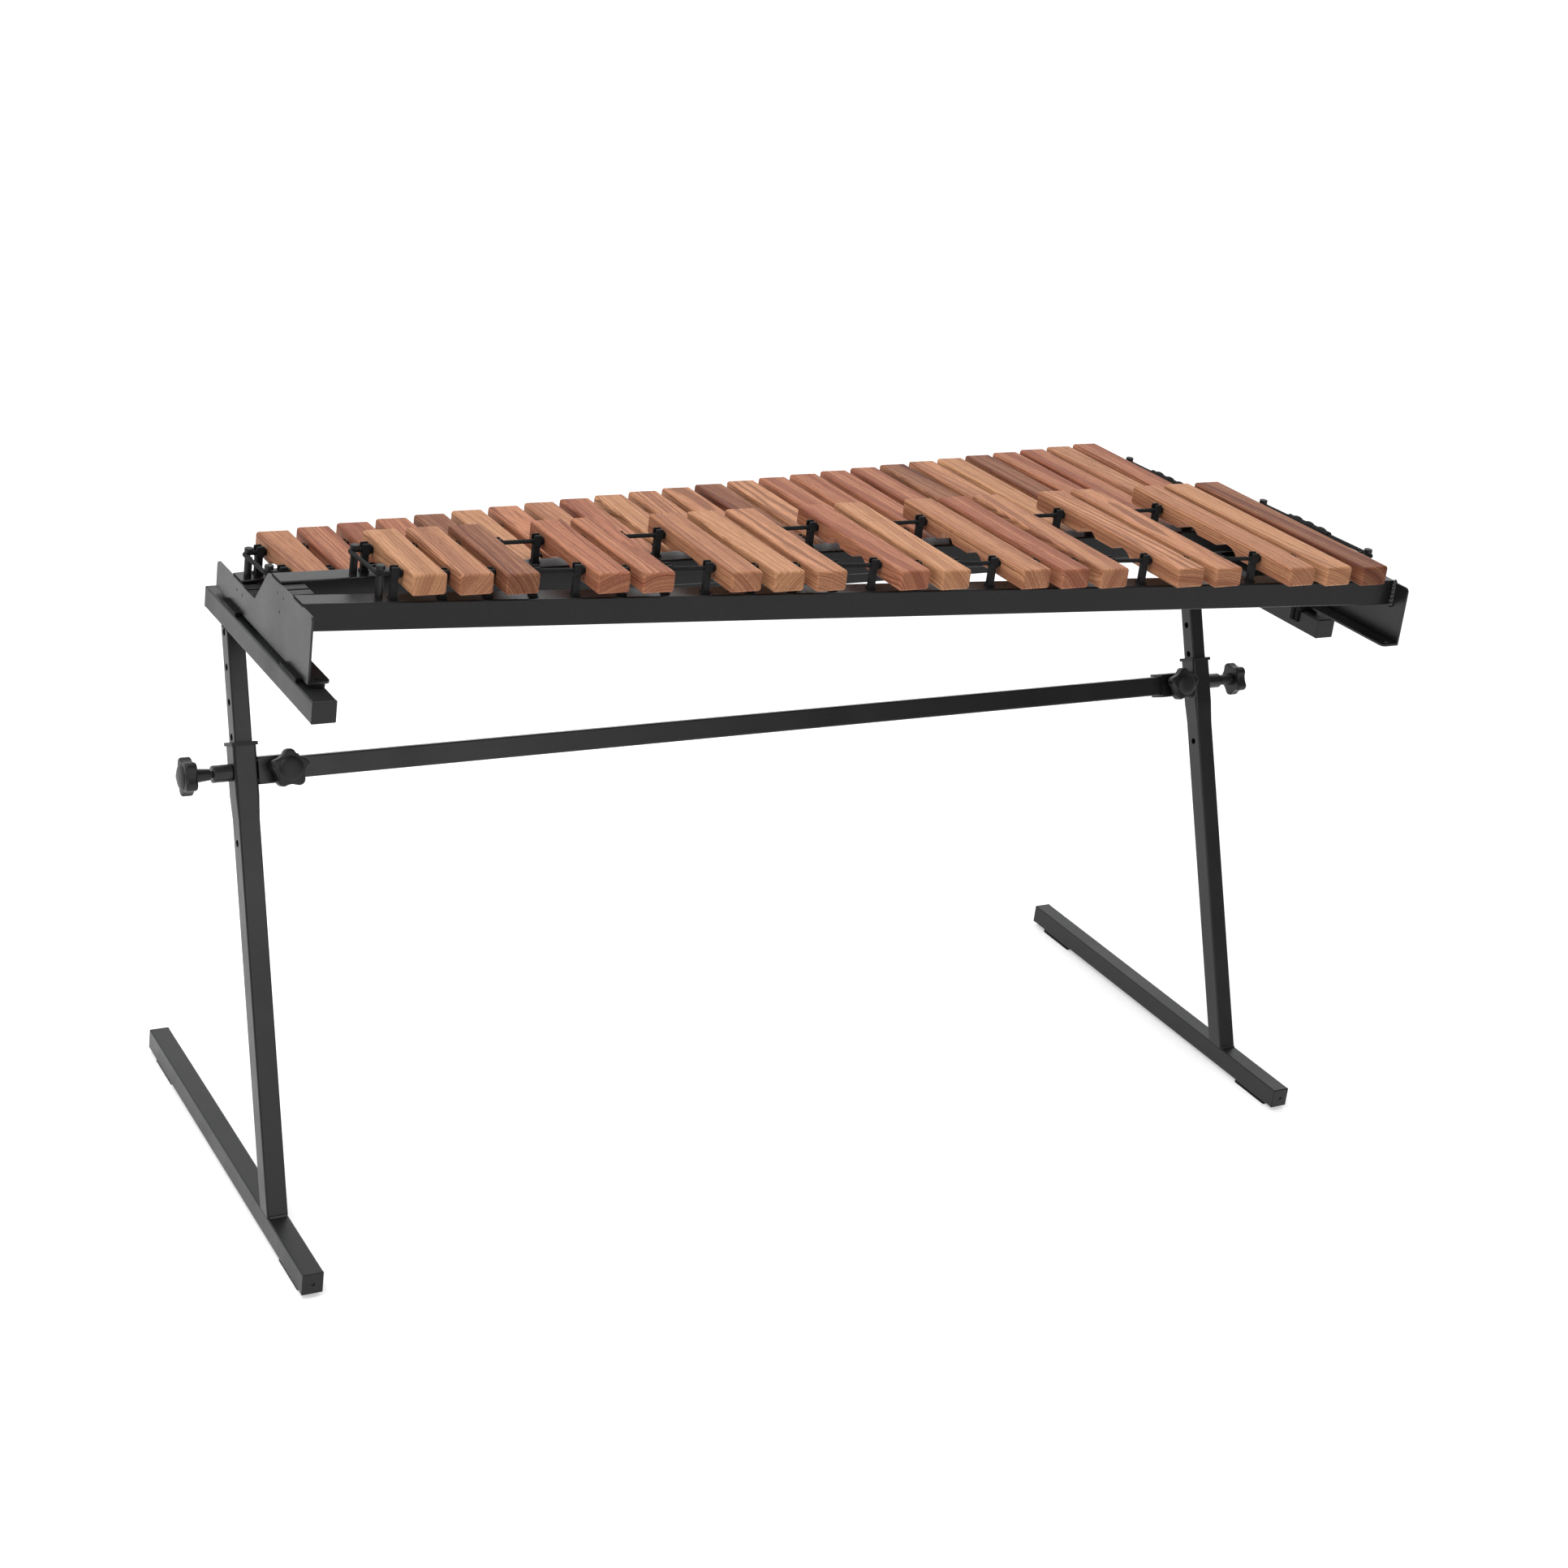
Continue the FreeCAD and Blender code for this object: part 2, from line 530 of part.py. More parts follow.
def line_sketch(body, plane, corners, names):
    """A closed outline on one of the body's own planes; names holds what binds each point."""
    sketch = body.newObject("Sketcher::SketchObject", body.Name + "_outline")
    role = [f for f in body.Origin.OriginFeatures if f.Role == plane][0]
    sketch.AttachmentSupport = [(role, "")]
    sketch.MapMode = "FlatFace"
    count = len(corners)
    for k in range(count):
        a, b = corners[k], corners[(k + 1) % count]
        sketch.addGeometry(Part.LineSegment(Vector(a[0], a[1], 0), Vector(b[0], b[1], 0)), False)
    for k in range(count):
        sketch.addConstraint(Sketcher.Constraint("Coincident", k, 2, (k + 1) % count, 1))
    for k in range(count):
        for way, axis in (("DistanceX", 0), ("DistanceY", 1)):
            index = sketch.addConstraint(Sketcher.Constraint(way, -1, 1, k, 1, corners[k][axis]))
            label = "%s_%d" % ("across" if axis == 0 else "up", k + 1)
            sketch.renameConstraint(index, label)
            bind(sketch, "Constraints.%s" % label, names[k][axis])
    return sketch


LEVELS = (("high", "rail_two", "<plate_high>"), ("low", "rail_four", "<plate_low>"))


def screw_places(side):
    """Three screws per level of a plate: two side by side and one below them."""
    x = 0.0 if side == "left" else size("leg_span")
    places = []
    for level, rail, top in LEVELS:
        centre = "<%s_start> + <%s_slope> * %g - <%s_screw_back>" % (rail, rail, x, level)
        upper = top + " - <screw_below_edge>"
        places.append((level + "_1", centre + " - <screw_pitch> / 2", upper))
        places.append((level + "_2", centre + " + <screw_pitch> / 2", upper))
        places.append((level + "_3", centre, upper + " - <screw_drop>"))
    return places


for side in ("left", "right"):
    name = "end_plate_" + side
    body = doc.addObject("PartDesign::Body", name + "_sheet")
    pre = side + "_plate_"
    levels = ("plate_bottom", "plate_high", "plate_low")
    bottom = size("arm_bottom") + size("arm_height") + size("saddle_gap")
    far, near = size(pre + "far"), size(pre + "near")
    valley, peak = size(pre + "valley"), size(pre + "peak")
    high, low = size("plate_high"), size("plate_low")
    corners = [(near, bottom), (far, bottom), (far, low), (valley, low), (peak, high), (near, high)]
    bottoms = PLATE_BOTTOM
    names = [("<%snear>" % pre, bottoms), ("<%sfar>" % pre, bottoms), ("<%sfar>" % pre, "<plate_low>"),
             ("<%svalley>" % pre, "<plate_low>"), ("<%speak>" % pre, "<plate_high>"),
             ("<%snear>" % pre, "<plate_high>")]
    outline = line_sketch(body, "YZ_Plane", corners, names)
    pad = body.newObject("PartDesign::Pad", name + "_pad")
    pad.Profile = outline
    bind(pad, "Length", "<plate_sheet>")
    doc.recompute()
    lip_x = "0" if side == "left" else "-<plate_lip> + <plate_sheet>"
    lip = box(name + "_lip", "<plate_lip>", "<%sfar> - <%snear>" % (pre, pre), "<plate_sheet>",
              at=(lip_x, "<%snear>" % pre, PLATE_BOTTOM))
    joined = fuse(name + "_joined", body, lip)

    def plate_edges(edge, near=near, far=far, high=high, low=low, bottom=bottom, side=side):
        if not isinstance(edge.Curve, Part.Line):
            return False
        a, b = edge.Vertexes[0].Point, edge.Vertexes[1].Point
        if abs((b - a).normalize().x) > 0.999:
            return a.z > low - 0.5 and edge.Length < 5
        inner = size("plate_lip") if side == "left" else size("plate_sheet") - size("plate_lip")
        return abs((b - a).normalize().z) > 0.999 and abs(a.x - inner) < 0.01
    soft = rounded(name + "_soft", joined, "plate_round", plate_edges)
    hole_x = "<plate_lip> / 2" if side == "left" else "-<plate_lip> / 2 + <plate_sheet>"
    hole = rod(name + "_hole", "<lip_hole> / 2", "20",
               at=(hole_x, "<%snear> + 8" % pre, PLATE_BOTTOM + " - 10"))
    screw_holes = []
    for label, y, z in screw_places(side):
        screw_holes.append(rod("%s_hole_%s" % (name, label), "<screw_radius>", "20", at=("-5", y, z),
                               along=ALONG_X))
    plate = cut(name, soft, hole, *screw_holes)
    x = FRAME_X + " + <frame_offset>"
    if side == "right":
        x += " + <leg_span> - <plate_sheet>"
    move(plate, x, "<depth_shift>", "0")
    finish(plate, name)

# ---------------------------------------------------------------- frame: rails
RAILS = {
    "accidental_rail_near": ("rail_one", "high_rail_top"),
    "accidental_rail_far": ("rail_two", "high_rail_top"),
    "natural_rail_near": ("rail_three", "low_rail_top"),
    "natural_rail_far": ("rail_four", "low_rail_top"),
}
for name, (rail, top) in RAILS.items():
    slope = size(rail + "_slope")
    inner = "<leg_span> - 2 * <plate_sheet>"
    outside = box(name + "_outside", "(%s) / cos(atan(<%s_slope>)) + 40" % (inner, rail), "<rail_width>",
                  "<rail_height>", at=("-20", "-<rail_width> / 2", "0"))
    soft = rounded(name + "_soft", outside, "tube_round", straight_along(Vector(1, 0, 0)))
    inside = box(name + "_inside", "(%s) / cos(atan(<%s_slope>)) + 80" % (inner, rail),
                 "<rail_width> - 2 * <rail_wall>", "<rail_height> - 2 * <rail_wall>",
                 at=("-40", "-<rail_width> / 2 + <rail_wall>", "<rail_wall>"))
    tube = cut(name + "_tube", soft, inside)
    tilt(tube, Vector(0, 0, 1), "atan(<%s_slope>) / 1 deg" % rail)
    move(tube, "<frame_offset> + <plate_sheet>",
         "<%s_start> + <%s_slope> * (<frame_offset> + <plate_sheet>)" % (rail, rail), "0")
    ends = []
    for end, start in (("left", "<frame_offset> + <plate_sheet> - 200"),
                       ("right", "<frame_offset> + <leg_span> - <plate_sheet>")):
        ends.append(box("%s_trim_%s" % (name, end), "200", "1200", "100", at=(start, "-400", "-30")))
    trimmed = cut(name, tube, *ends)
    move(trimmed, FRAME_X, "<depth_shift>", "<%s> - <rail_height>" % top)
    finish(trimmed, name)

# Stiffening blocks screwed to the inside of both plates, between the rails of each level.
blocks = []
screws = []
for side in ("left", "right"):
    inner_x = 0.0 if side == "left" else size("leg_span") - size("plate_sheet") - size("block_length")
    for level, rail, top in LEVELS:
        centre = "<%s_start> + <%s_slope> * %g - <rail_width> / 2 - 17" % (rail, rail, inner_x)
        start = "<frame_offset> + <plate_sheet>"
        if side == "right":
            start = "<frame_offset> + <leg_span> - <plate_sheet> - <block_length>"
        for k, shift in enumerate(("-<block_pitch> + <block_groove> / 2", "<block_groove> / 2")):
            name = "rail_block_%s_%s_%d" % (side, level, k + 1)
            block = box(name + "_solid", "<block_length>", "<block_pitch> - <block_groove> - 2",
                        "<block_height>",
                        at=(start, centre + " + " + shift, top + " - <block_drop> - <block_height>"))
            blocks.append(rounded(name, block, "flare_proud", straight_along(Vector(1, 0, 0))))
    base = "<frame_offset> + 0.3"
    if side == "right":
        base = "<frame_offset> + <leg_span> - <plate_sheet>"
    for label, y, z in screw_places(side):
        screws.append(rod("plate_screw_%s_%s" % (side, label), "<screw_radius>", "<plate_sheet> - 0.3",
                          at=(base, y, z), along=ALONG_X))
for name, pieces in (("rail_blocks", blocks), ("plate_screws", screws)):
    both = group(name, pieces)
    move(both, FRAME_X, "<depth_shift>", "0")
    finish(both, name)

# The weld bead that joins the near rail to the plate at the long-bar end.
pearls = []
for k in range(6):
    pearl = doc.addObject("Part::Sphere", "rail_bead_pearl_%d" % (k + 1))
    pearl.Radius = 5 - 0.1 * k + 0.4 * math.sin(2.1 * k)
    move(pearl, "0", "0", "%g * <rail_height>" % (0.06 + 0.176 * k))
    pearls.append(pearl)
pearls_fused = fuse("rail_bead_pearls", *pearls)
away = box("rail_bead_trim_plate", "20", "40", "80", at=("0", "-20", "-20"))
behind = box("rail_bead_trim_rail", "60", "20", "80", at=("-30", "0", "-20"))
bead = cut("rail_weld", pearls_fused, away, behind)
bead_x = "(<frame_offset> + <leg_span> - <plate_sheet>)"
rail_face = "<rail_one_start> + <rail_one_slope> * %s" % bead_x
rail_face += " - <rail_width> / 2 / cos(atan(<rail_one_slope>))"
move(bead, FRAME_X + " + " + bead_x, rail_face + " - 0.25 + <depth_shift>", "<high_rail_top> - <rail_height>")
finish(bead, "rail_weld")

# Rubber saddles between the plates' lips and the arms, with two prongs down the arm's inner side.
SADDLES = {"left": (147, 350), "right": (125, 334)}
for side, starts in SADDLES.items():
    pieces = []
    for k, start in enumerate(starts):
        name = "saddle_%s_%d" % (side, k + 1)
        gap = "<cap_fit>"
        inner_in = "<arm_width> + " + gap if side == "left" else "-<saddle_side> - " + gap
        base_start = "1" if side == "left" else "-<saddle_side> - " + gap
        base = box(name + "_base", "<arm_width> - 1 + <saddle_side> + <cap_fit>", "<saddle_length>",
                   "<saddle_gap> - 0.1", at=(base_start, "0", "0.05"))
        prongs = [box("%s_prong_%d" % (name, n + 1), "<saddle_side>", "6", "<saddle_prong> + 1",
                      at=(inner_in, "%d" % (3 + 9 * n), "-<saddle_prong>")) for n in range(2)]
        piece = fuse(name, base, *prongs)
        move(piece, "0", "%d" % start, "0")
        pieces.append(piece)
    both = group("saddles_" + side, pieces)
    move(both, ARM_X[side], "<depth_shift>", "<arm_bottom> + <arm_height>")
    finish(both, "saddles_" + side)

disc = rod("lip_foot_disc", "<foot_disc_radius>", "<saddle_gap> - 0.1")
stem = rod("lip_foot_stem", "<lip_hole> / 2 - 0.1", "<plate_sheet> + 0.1",
           at=("0", "0", "<saddle_gap> - 0.1"))
lip_foot = fuse("lip_foot", disc, stem)
move(lip_foot, FRAME_X + " + <frame_offset> + <plate_lip> / 2", "<left_plate_near> + 8 + <depth_shift>",
     "<arm_bottom> + <arm_height>")
finish(lip_foot, "lip_foot")

# ---------------------------------------------------------------- posts, bumpers and cords
NATURALS = 26
# Positions of the black keys, counted in gaps between the white ones from the high end.
ACCIDENTAL_GAPS = [2, 3, 4, 6, 7, 9, 10, 11, 13, 14, 16, 17, 18, 20, 21, 23, 24, 25]

PITCH, WIDTH = size("bar_pitch"), size("bar_width")
natural_left = [size("natural_first") + PITCH * k for k in range(NATURALS)]
accidental_left = [size("accidental_first") + PITCH * k for k in ACCIDENTAL_GAPS]
HALF_SPAN = size("leg_span") / 2


def post_places(lefts):
    """Where a row's posts stand: x of each post's centre, and what kind of post it is.

    A low post fills the gap between two bars. A tall one stands at the end of a group of bars, and
    the one before a group has a bumper.
    """
    gap, half = size("post_gap"), size("row_post_width") / 2
    places = []
    for k, left in enumerate(lefts):
        previous = lefts[k - 1] + WIDTH if k else None
        if previous is not None and left - previous < 15:
            places.append(((left + previous) / 2, "low"))
            continue
        if previous is not None:
            places.append((previous + gap + half, "tall"))
        places.append((left - size("bumper_gap") - half, "bumper"))
    places.append((lefts[-1] + WIDTH + gap + half, "tall"))
    return places


def row_line(rail, outward):
    """The straight line of a row's cord, as y at x = 0 and slope, in the frame's own plan."""
    start, slope = size(rail + "_start"), size(rail + "_slope")
    return start + outward * size("cord_offset") * math.hypot(1, slope), slope


def cord_level(outward):
    """How high above the rail a row's cord runs: on the near side (outward is -1) or the far side."""
    return size("near_cord_height" if outward < 0 else "far_cord_height")


def loop_posts(near_rail, far_rail, first, last):
    """Centres of the four capped posts that a row's cord runs round, in order round the loop."""
    inward = size("cord_wrap") - size("cord_offset")
    corners = []
    for rail, side, x in ((near_rail, 1, first), (near_rail, 1, last), (far_rail, -1, last),
                          (far_rail, -1, first)):
        start, slope = size(rail + "_start"), size(rail + "_slope")
        across = start + slope * x + side * inward * math.hypot(1, slope)
        corners.append(Vector(x, across, cord_level(-side)))
    return corners


def cord_post(level, rise):
    """A post on its own axis: a column, and a fork on top that holds the cord at that level."""
    wide, deep, head_deep = size("row_post_width"), size("row_post_depth"), size("head_depth")
    tall = level + rise
    slot = size("cord_radius") + 0.25
    column = Part.makeBox(wide - 2, deep, level, Vector(-wide / 2 + 1, -deep / 2, 0))
    head = Part.makeBox(wide, head_deep, size("head_height"),
                        Vector(-wide / 2, -head_deep / 2, tall - size("head_height")))
    head = head.makeFillet(1.4, head.Edges)
    foot = Part.makeBox(wide, deep + 3, 2, Vector(-wide / 2, -deep / 2 - 1.5, 0))
    hole = Part.makeCylinder(slot, 40, Vector(-20, 0, level), Vector(1, 0, 0))
    mouth = Part.makeBox(40, 2 * slot, 40, Vector(-20, -slot, level))
    return column.fuse([head, foot]).cut([hole, mouth]).removeSplitter()


def cord_bumper(level):
    """The rubber ring between a post and the first bar of a group, on the post's own axes."""
    start = Vector(size("row_post_width") / 2 + 0.1, 0, level)
    along = Vector(1, 0, 0)
    ring = Part.makeCylinder(size("bumper_radius"), size("bumper_length"), start, along)
    ring = ring.makeFillet(1.0, [ring.Edges[0], ring.Edges[2]])
    return ring.cut(Part.makeCylinder(size("cord_radius") + 0.25, 20, start - along * 5, along))


def row_posts(name, rail, top, lefts, outward):
    """The posts of one rail, and the bumpers that go with them."""
    line, slope = row_line(rail, outward)
    turn = Rotation(Vector(0, 0, 1), math.degrees(math.atan(slope)))
    level = cord_level(outward)
    rises = {"low": "low_prong_rise", "tall": "short_prong_rise", "bumper": "prong_rise"}
    shapes = {kind: cord_post(level, size(rise)) for kind, rise in rises.items()}
    solids = []
    bumpers = []
    for x, kind in post_places(lefts):
        spot = Placement(Vector(x, line + slope * x, size(top)), turn)
        post = shapes[kind].copy()
        post.Placement = spot
        solids.append(post)
        if kind == "bumper":
            ring = cord_bumper(level)
            ring.Placement = spot
            bumpers.append(ring)
    obj = doc.addObject("Part::Feature", name)
    obj.Shape = Part.makeCompound(solids)
    obj.Placement = Placement(Vector(-HALF_SPAN, size("depth_shift"), 0), Rotation())
    finish(obj, name)
    return bumpers


all_bumpers = []
ROWS = (
    ("accidental", "rail_one", "rail_two", "high_rail_top", accidental_left, "high_end_post"),
    ("natural", "rail_three", "rail_four", "low_rail_top", natural_left, "low_end_post"),
)
for row, near_rail, far_rail, top, lefts, ends in ROWS:
    all_bumpers += row_posts(row + "_posts_near", near_rail, top, lefts, -1)
    all_bumpers += row_posts(row + "_posts_far", far_rail, top, lefts, 1)

    corners = loop_posts(near_rail, far_rail, size(ends), size(ends + "_last"))
    solids = []
    for corner in corners:
        groove, tall = corner.z, corner.z + size("end_post_rise")
        lower = Part.makeCylinder(size("end_post_radius"), groove - 3.2)
        waist = Part.makeCylinder(size("groove_radius"), tall)
        cap_start = groove + 3.2
        cap = Part.makeCylinder(size("end_post_cap"), tall - cap_start, Vector(0, 0, cap_start))
        cap = cap.makeFillet(1.2, [e for e in cap.Edges if isinstance(e.Curve, Part.Circle)][0:1])
        post = waist.fuse([lower, cap]).removeSplitter()
        post.Placement = Placement(Vector(corner.x, corner.y, size(top)), Rotation())
        solids.append(post)
    obj = doc.addObject("Part::Feature", row + "_end_posts")
    obj.Shape = Part.makeCompound(solids)
    obj.Placement = Placement(Vector(-HALF_SPAN, size("depth_shift"), 0), Rotation())
    finish(obj, row + "_end_posts")

    # The cord: one closed loop of straight runs, with an arc round each capped post.
    wrap, level = size("cord_wrap"), Vector(0, 0, size(top))
    normals = []
    for k in range(4):
        way = corners[(k + 1) % 4] - corners[k]
        normals.append(Vector(way.y, -way.x, 0).normalize())
    edges = []
    for k in range(4):
        before, after = normals[k - 1], normals[k]
        middle = (before + after).normalize()
        centre = corners[k] + level
        arc = Part.Arc(centre + before * wrap, centre + middle * wrap, centre + after * wrap)
        run = Part.LineSegment(centre + after * wrap, corners[(k + 1) % 4] + level + after * wrap)
        edges += [arc.toShape(), run.toShape()]
    wire = Part.Wire(edges)
    route = wire.Length
    start = edges[1].Vertexes[0].Point
    section = Part.Wire(Part.makeCircle(size("cord_radius"), start, corners[1] - corners[0]))
    first_half = Part.Wire(edges[1:5]).makePipeShell([section], True, False)
    start_two = edges[5].Vertexes[0].Point
    section_two = Part.Wire(Part.makeCircle(size("cord_radius"), start_two, corners[3] - corners[2]))
    second_half = Part.Wire(edges[5:] + edges[:1]).makePipeShell([section_two], True, False)
    loop = first_half.fuse(second_half).removeSplitter()
    wanted = math.pi * size("cord_radius") ** 2 * route
    if abs(loop.Volume - wanted) > 0.01 * wanted:
        raise ValueError("%s cord: volume %.0f, expected %.0f" % (row, loop.Volume, wanted))
    cord = doc.addObject("Part::Feature", row + "_cord")
    cord.Shape = loop
    cord.Placement = Placement(Vector(-HALF_SPAN, size("depth_shift"), 0), Rotation())
    finish(cord, row + "_cord")

    # The rubber cover over the joint in the cord, on the run at the long-bar end.
    far_corner, near_corner = corners[2] + level + normals[1] * wrap, corners[1] + level + normals[1] * wrap
    way = (near_corner - far_corner).normalize()
    begin = far_corner + way * size("sleeve_from_far")
    tube = Part.makeCylinder(size("sleeve_radius"), size("sleeve_length"), begin, way)
    lumps = []
    for k in range(3):
        spot = begin + way * size("sleeve_length") * (0.2 + 0.3 * k)
        profile = Part.Ellipse(Vector(0, 0, 0), 11.0, size("sleeve_bulge"))
        half = Part.Arc(profile, 0, math.pi).toShape()
        closed = Part.Face(Part.Wire([half, Part.makeLine(Vector(-11, 0, 0), Vector(11, 0, 0))]))
        lump = closed.revolve(Vector(), Vector(1, 0, 0), 360)
        lump.Placement = Placement(spot, Rotation(Vector(1, 0, 0), way))
        lumps.append(lump)
    bore = Part.makeCylinder(size("cord_radius") + 0.05, size("sleeve_length") + 40, begin - way * 20, way)
    sleeve = doc.addObject("Part::Feature", row + "_cord_sleeve")
    sleeve.Shape = tube.fuse(lumps).cut(bore).removeSplitter()
    sleeve.Placement = Placement(Vector(-HALF_SPAN, size("depth_shift"), 0), Rotation())
    finish(sleeve, row + "_cord_sleeve")

obj = doc.addObject("Part::Feature", "bar_bumpers")
obj.Shape = Part.makeCompound(all_bumpers)
obj.Placement = Placement(Vector(-HALF_SPAN, size("depth_shift"), 0), Rotation())
finish(obj, "bar_bumpers")


# ---------------------------------------------------------------- bars
def bar_body(name, row, left):
    """One bar: its side profile with the tuning arch, padded to the bar's width, corners rounded."""
    reach = "(<%s_%%s_start> + <%s_%%s_slope> * %g)" % (row, row, left)
    near, far = reach % ("near", "near"), reach % ("far", "far")
    length = size(row + "_far_start") + size(row + "_far_slope") * left
    length -= size(row + "_near_start") + size(row + "_near_slope") * left
    thick, first = size("bar_thickness"), size("arch_start") * length
    body = doc.addObject("PartDesign::Body", name)
    sketch = body.newObject("Sketcher::SketchObject", name + "_side")
    role = [f for f in body.Origin.OriginFeatures if f.Role == "YZ_Plane"][0]
    sketch.AttachmentSupport = [(role, "")]
    sketch.MapMode = "FlatFace"
    points = [(0, thick), (0, 0), (first, 0)]
    formulas = [("0", "<bar_thickness>"), ("0", "0"), ("<arch_start> * LENGTH", "0")]
    arcs = {}
    double = length > size("arch_long_from")
    if double:
        half, bump = size("arch_bump_half"), size("arch_bump") * thick
        deep = size("arch_long_depth") * thick
        middle = (first + (0.5 - half) * length) / 2
        arcs[2] = (middle, deep)
        points += [((0.5 - half) * length, bump), ((0.5 + half) * length, bump)]
        formulas += [("(0.5 - <arch_bump_half>) * LENGTH", "<arch_bump> * <bar_thickness>"),
                     ("(0.5 + <arch_bump_half>) * LENGTH", "<arch_bump> * <bar_thickness>")]
        arcs[4] = (length - middle, deep)
    else:
        arcs[2] = (length / 2, size("arch_short_depth") * thick)
    points += [(length - first, 0), (length, 0), (length, thick)]
    formulas += [("(1 - <arch_start>) * LENGTH", "0"), ("LENGTH", "0"), ("LENGTH", "<bar_thickness>")]
    count = len(points)
    for k in range(count):
        a, b = points[k], points[(k + 1) % count]
        a3, b3 = Vector(a[0], a[1], 0), Vector(b[0], b[1], 0)
        if k in arcs:
            curve = Part.Arc(a3, Vector(arcs[k][0], arcs[k][1], 0), b3)
            sketch.addGeometry(curve, False)
        else:
            sketch.addGeometry(Part.LineSegment(a3, b3), False)
    lasts, firsts = {}, {}
    for k in range(count):
        clockwise = k in arcs
        firsts[k], lasts[k] = (2, 1) if clockwise else (1, 2)
    for k in range(count):
        following = (k + 1) % count
        sketch.addConstraint(Sketcher.Constraint("Coincident", k, lasts[k], following, firsts[following]))
    whole = "(%s - %s)" % (far, near)
    for k in range(count):
        for way, axis in (("DistanceX", 0), ("DistanceY", 1)):
            index = sketch.addConstraint(Sketcher.Constraint(way, -1, 1, k, firsts[k], points[k][axis]))
            label = "%s_%d" % ("along" if axis == 0 else "up", k + 1)
            sketch.renameConstraint(index, label)
            bind(sketch, "Constraints.%s" % label, formulas[k][axis].replace("LENGTH", whole))
    for k in arcs:
        radius = sketch.Geometry[k].Radius
        sketch.addConstraint(Sketcher.Constraint("Radius", k, radius))
    pad = body.newObject("PartDesign::Pad", name + "_pad")
    pad.Profile = sketch
    bind(pad, "Length", "<bar_width>")
    doc.recompute([sketch, pad])
    edges = []
    for number, edge in enumerate(pad.Shape.Edges, start=1):
        if not isinstance(edge.Curve, Part.Line):
            continue
        a, b = edge.Vertexes[0].Point, edge.Vertexes[1].Point
        top_edge = min(a.z, b.z) > thick - 0.01
        upright = abs(b.z - a.z) > thick - 0.01
        if top_edge or upright:
            edges.append("Edge%d" % number)
    fillet = body.newObject("PartDesign::Fillet", name + "_round")
    fillet.Base = (pad, edges)
    bind(fillet, "Radius", "<bar_round>")
    doc.recompute([fillet])
    under = []
    for number, edge in enumerate(fillet.Shape.Edges, start=1):
        points = [v.Point for v in edge.Vertexes]
        if len(points) == 2 and max(abs(q.z) for q in points) < 0.01 and abs(points[0].y - points[1].y) > 5:
            under.append("Edge%d" % number)
    chamfer = body.newObject("PartDesign::Chamfer", name + "_under")
    chamfer.Base = (fillet, under)
    bind(chamfer, "Size", "<bar_soft>")
    level = "<high_rail_top>" if row == "accidental" else "<low_rail_top>"
    move(body, "%g" % left, near, level + " + <bar_lift>")
    return body


def drilling(name, rail, outward, top):
    """The line of the cord, thick enough to clear it: what is drilled through every bar of a row."""
    line, slope = row_line(rail, outward)
    obj = doc.addObject("Part::Feature", name)
    way = Vector(1, slope, 0).normalize()
    start = Vector(-50, line - 50 * slope, size(top) + cord_level(outward))
    obj.Shape = Part.makeCylinder(size("cord_hole"), 1600, start, way)
    return obj


OCTAVES = {"natural": (8, 7, 7, 4), "accidental": (5, 5, 5, 3)}
for row, near_rail, far_rail, top, lefts, ends in ROWS:
    holes = fuse(row + "_holes", drilling(row + "_hole_near", near_rail, -1, top),
                 drilling(row + "_hole_far", far_rail, 1, top))
    start = 0
    for number, count in enumerate(OCTAVES[row], start=1):
        bodies = []
        for k in range(start, start + count):
            bodies.append(bar_body("%s_bar_%d" % (row, k + 1), row, lefts[k]))
        start += count
        name = "%s_bars_octave_%d" % (row, number)
        bars = cut(name, group(name + "_solid", bodies), holes)
        bars.Placement = Placement(Vector(-HALF_SPAN, size("depth_shift"), 0), Rotation())
        finish(bars, name)

doc.recompute()

# ---------------------------------------------------------------- checks and files
for obj in doc.Objects:
    if "Invalid" in obj.State or "Error" in obj.State:
        raise RuntimeError("%s (%s) has failed: %s" % (obj.Label, obj.TypeId, obj.State))

os.makedirs("parts", exist_ok=True)
for name in os.listdir("parts"):
    if name.endswith(".step"):
        os.remove(os.path.join("parts", name))
for obj in finished:
    shape = obj.Shape
    if shape.isNull() or not shape.isValid() or not shape.Solids:
        raise RuntimeError("%s has no valid shape" % obj.Label)
    print("%-28s solids %3d  volume %10.0f  box %s" % (obj.Label, len(shape.Solids), shape.Volume,
          [round(v, 1) for v in (shape.BoundBox.XMin, shape.BoundBox.YMin, shape.BoundBox.ZMin,
                                 shape.BoundBox.XMax, shape.BoundBox.YMax, shape.BoundBox.ZMax)]))
    shape.exportStep(os.path.join("parts", obj.Label + ".step"))
whole = Part.makeCompound([obj.Shape for obj in finished])
print("sub-parts:", len(finished), "box:", whole.BoundBox)
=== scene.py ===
import json
import math

import bpy
from mathutils import Matrix, Vector


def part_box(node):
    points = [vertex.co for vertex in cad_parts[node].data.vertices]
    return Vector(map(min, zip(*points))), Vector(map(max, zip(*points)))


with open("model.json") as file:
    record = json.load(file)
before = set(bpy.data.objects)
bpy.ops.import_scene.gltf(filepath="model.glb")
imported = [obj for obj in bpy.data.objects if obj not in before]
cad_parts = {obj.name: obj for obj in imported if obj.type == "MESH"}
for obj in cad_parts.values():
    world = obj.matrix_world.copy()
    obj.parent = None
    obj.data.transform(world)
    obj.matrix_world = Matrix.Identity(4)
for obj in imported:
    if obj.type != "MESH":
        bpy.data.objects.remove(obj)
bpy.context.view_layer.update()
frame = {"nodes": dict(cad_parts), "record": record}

MM = 0.001

# ------------------------------------------------------------------ node helpers


